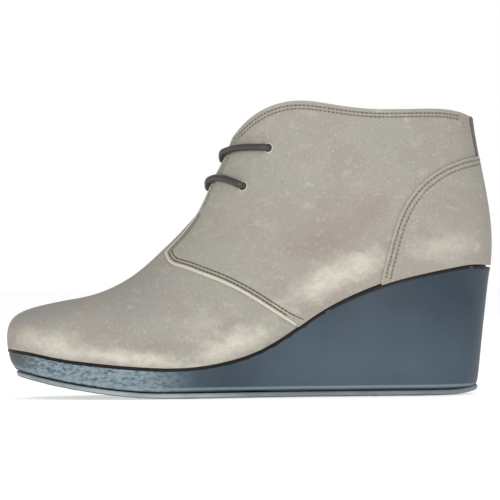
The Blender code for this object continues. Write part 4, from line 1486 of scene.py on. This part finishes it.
def whole_bar(name):
    """A bar from the lateral eyelet, over the slit with a little sag, to the medial one."""
    left, right = bar_half(LATERAL, name), bar_half(MEDIAL, name)
    station = np.array([BAR_STATIONS["lower"], BAR_STATIONS["upper"]])
    ahead = leather(LATERAL, station, wall_end(LATERAL, station))[0]
    down = unit((ahead[0] - ahead[1]) * np.array([1.0, 0.0, 1.0]))
    inward = np.array([-down[2], 0.0, down[0]])
    middle = 0.5 * (left[-1] + right[-1]) + down * BAR_SAG + inward * BAR_SINK
    shoulders = [0.7 * end + 0.3 * middle + down * 0.25 * BAR_SAG for end in (left[-1], right[-1])]
    return left + [shoulders[0], middle, shoulders[1]] + right[::-1]


def inside_run(side, first, last, until):
    """The lace behind one flap, from one eyelet towards the other."""
    level = -(WALL + 0.5 * sizes().cord + 0.0006)
    start, end = locate(side, EYELETS[first]), locate(side, EYELETS[last])
    route = lace_turn(side, first, over(side, start, end, 0.1, 0.0), -WALL, -1)
    route += [over(side, start, end, share, level) for share in (0.35, 0.5, 0.65)]
    if until < 1.0:
        return route + [over(side, start, end, until, level)]
    return route + lace_turn(side, last, over(side, end, start, 0.1, 0.0), -WALL, -1)[::-1]


def rounded(route, step):
    """A route smoothed through its points and laid out in even steps."""
    route = np.array(route)
    keep = np.concatenate([[True], np.linalg.norm(np.diff(route, axis=0), axis=1) > 2e-4])
    route = route[keep]
    gaps = np.linalg.norm(np.diff(route, axis=0), axis=1)
    knots = np.concatenate([[0.0], np.cumsum(np.sqrt(gaps))])
    fine = OpenSpline(knots, route)(np.linspace(0.0, knots[-1], 2000))
    run = run_along(fine)
    even = np.linspace(0.0, run[-1], round(run[-1] / step) + 1)
    return np.stack([np.interp(even, run, fine[:, i]) for i in range(3)], 1)


def tube(name, path, radius, sides):
    """A closed round cord along a path, with its map running along and round it."""
    along = unit(np.gradient(path, axis=0))
    across = [unit(np.cross(along[0], np.array([0.0, 0.3, 1.0])))]
    for direction in along[1:]:
        across.append(unit(across[-1] - direction * np.dot(across[-1], direction)))
    across = np.array(across)
    third = np.cross(along, across)
    angle = np.linspace(0.0, 2.0 * math.pi, sides + 1)
    cosine, sine = np.cos(angle)[None, :, None], np.sin(angle)[None, :, None]
    ring = cosine * across[:, None] + sine * third[:, None]
    size = np.full(len(path), radius)
    size[0] = size[-1] = 0.86 * radius
    points = path[:, None] + ring * size[:, None, None]
    piece = sheet(name, points.transpose(1, 0, 2))
    pick(piece)
    bpy.ops.object.mode_set(mode="EDIT")
    bpy.ops.mesh.select_all(action="SELECT")
    bpy.ops.mesh.remove_doubles(threshold=1e-6)
    bpy.ops.mesh.select_all(action="DESELECT")
    bpy.ops.mesh.select_non_manifold()
    bpy.ops.mesh.edge_face_add()
    bpy.ops.mesh.select_all(action="SELECT")
    bpy.ops.mesh.normals_make_consistent(inside=False)
    bpy.ops.object.mode_set(mode="OBJECT")
    return piece


class BOOT_OT_lace(Operator):
    """The waxed cord through the two pairs of holes"""

    bl_idname = "boot.lace"
    bl_label = "Lace"

    def execute(self, context):
        station, height = locate(LATERAL, EYELETS["upper"])
        route = [leather(LATERAL, station, height, -WALL)[0]]
        route += whole_bar("upper")
        route += inside_run(MEDIAL, "upper", "lower", 1.0)
        route += whole_bar("lower")[::-1]
        route += inside_run(LATERAL, "lower", "upper", 0.75)
        path = rounded(route, 0.0007)
        piece = tube("lace_cord", path, 0.5 * sizes().cord, 16)
        coat(piece, waxed_cord("waxed cord"))
        dress(piece, "lace")
        smooth(piece, 60)
        return {"FINISHED"}


CAMERA_DISTANCE, CAMERA_HEIGHT, VIEW_WIDTH, ROLL = 2.2, 0.0734, 0.2521, 0.59
SKY = 0.52
LIGHTS = (
    ("key_light", (-0.35, -1.75, 0.50), 1.1, 14.5),
    ("fill_light", (1.2, -1.2, 0.9), 1.4, 4.0),
    ("back_light", (0.2, 1.6, 1.3), 1.5, 7.0),
)


class BOOT_OT_stage(Operator):
    """The floor, the soft lights and the camera"""

    bl_idname = "boot.stage"
    bl_label = "Stage"

    def execute(self, context):
        deselect()
        bpy.ops.mesh.primitive_plane_add(size=12.0, location=(0.0, 0.0, -0.0002))
        floor = bpy.context.object
        floor.name = "studio_floor"
        floor.data.materials.append(studio_floor("studio floor"))
        world = bpy.data.worlds.new("studio")
        context.scene.world = world
        world.use_nodes = True
        sky = world.node_tree.nodes["Background"]
        sky.inputs["Color"].default_value = (1.0, 1.0, 1.0, 1.0)
        lamp = world.node_tree.nodes.new("ShaderNodeLightPath")
        seen = world.node_tree.nodes.new("ShaderNodeMapRange")
        seen.inputs["To Min"].default_value = SKY
        seen.inputs["To Max"].default_value = 1.0
        world.node_tree.links.new(lamp.outputs["Is Camera Ray"], seen.inputs["Value"])
        world.node_tree.links.new(seen.outputs["Result"], sky.inputs["Strength"])
        context.scene.view_settings.view_transform = "Standard"
        for name, place, size, power in LIGHTS:
            light = bpy.data.lights.new(name, "AREA")
            light.shape, light.size, light.energy = "SQUARE", size, power
            holder = bpy.data.objects.new(name, light)
            context.scene.collection.objects.link(holder)
            holder.location = place
            aim = Vector((0.0, 0.0, 0.07)) - Vector(place)
            holder.rotation_euler = aim.to_track_quat("-Z", "Y").to_euler()
        camera = bpy.data.cameras.new("camera")
        camera.sensor_width = 36.0
        camera.lens = camera.sensor_width * CAMERA_DISTANCE / VIEW_WIDTH
        camera.clip_end = 50.0
        holder = bpy.data.objects.new("camera", camera)
        context.scene.collection.objects.link(holder)
        holder.location = (0.0005, -CAMERA_DISTANCE, CAMERA_HEIGHT)
        holder.rotation_euler = (math.radians(90.0), math.radians(ROLL), 0.0)
        context.scene.camera = holder
        return {"FINISHED"}


PIECES = (
    BOOT_OT_upper, BOOT_OT_flaps, BOOT_OT_counter, BOOT_OT_back_stay, BOOT_OT_tongue,
    BOOT_OT_insole, BOOT_OT_sole, BOOT_OT_stitches, BOOT_OT_lace, BOOT_OT_stage,
)


class BOOT_PT_panel(Panel):
    """Sizes, colours and pieces of the boot"""

    bl_label = "Ankle Boot"
    bl_idname = "BOOT_PT_panel"
    bl_space_type = "VIEW_3D"
    bl_region_type = "UI"
    bl_category = "Boot"

    def draw(self, context):
        for group in (context.scene.boot_sizes, context.scene.boot_colours):
            column = self.layout.column(align=True)
            for name in group.__annotations__:
                column.prop(group, name)
        for piece in PIECES:
            self.layout.operator(piece.bl_idname)


CLASSES = (BootSizes, BootColours, *PIECES, BOOT_PT_panel)


def register():
    for item in CLASSES:
        bpy.utils.register_class(item)
    bpy.types.Scene.boot_sizes = PointerProperty(type=BootSizes)
    bpy.types.Scene.boot_colours = PointerProperty(type=BootColours)


def unregister():
    del bpy.types.Scene.boot_colours
    del bpy.types.Scene.boot_sizes
    for item in reversed(CLASSES):
        bpy.utils.unregister_class(item)


def main():
    register()
    bpy.ops.boot.stage()
    bpy.ops.boot.sole()
    bpy.ops.boot.insole()
    bpy.ops.boot.tongue()
    bpy.ops.boot.upper()
    bpy.ops.boot.flaps()
    bpy.ops.boot.counter()
    bpy.ops.boot.back_stay()
    bpy.ops.boot.stitches()
    bpy.ops.boot.lace()


if __name__ == "__main__":
    main()
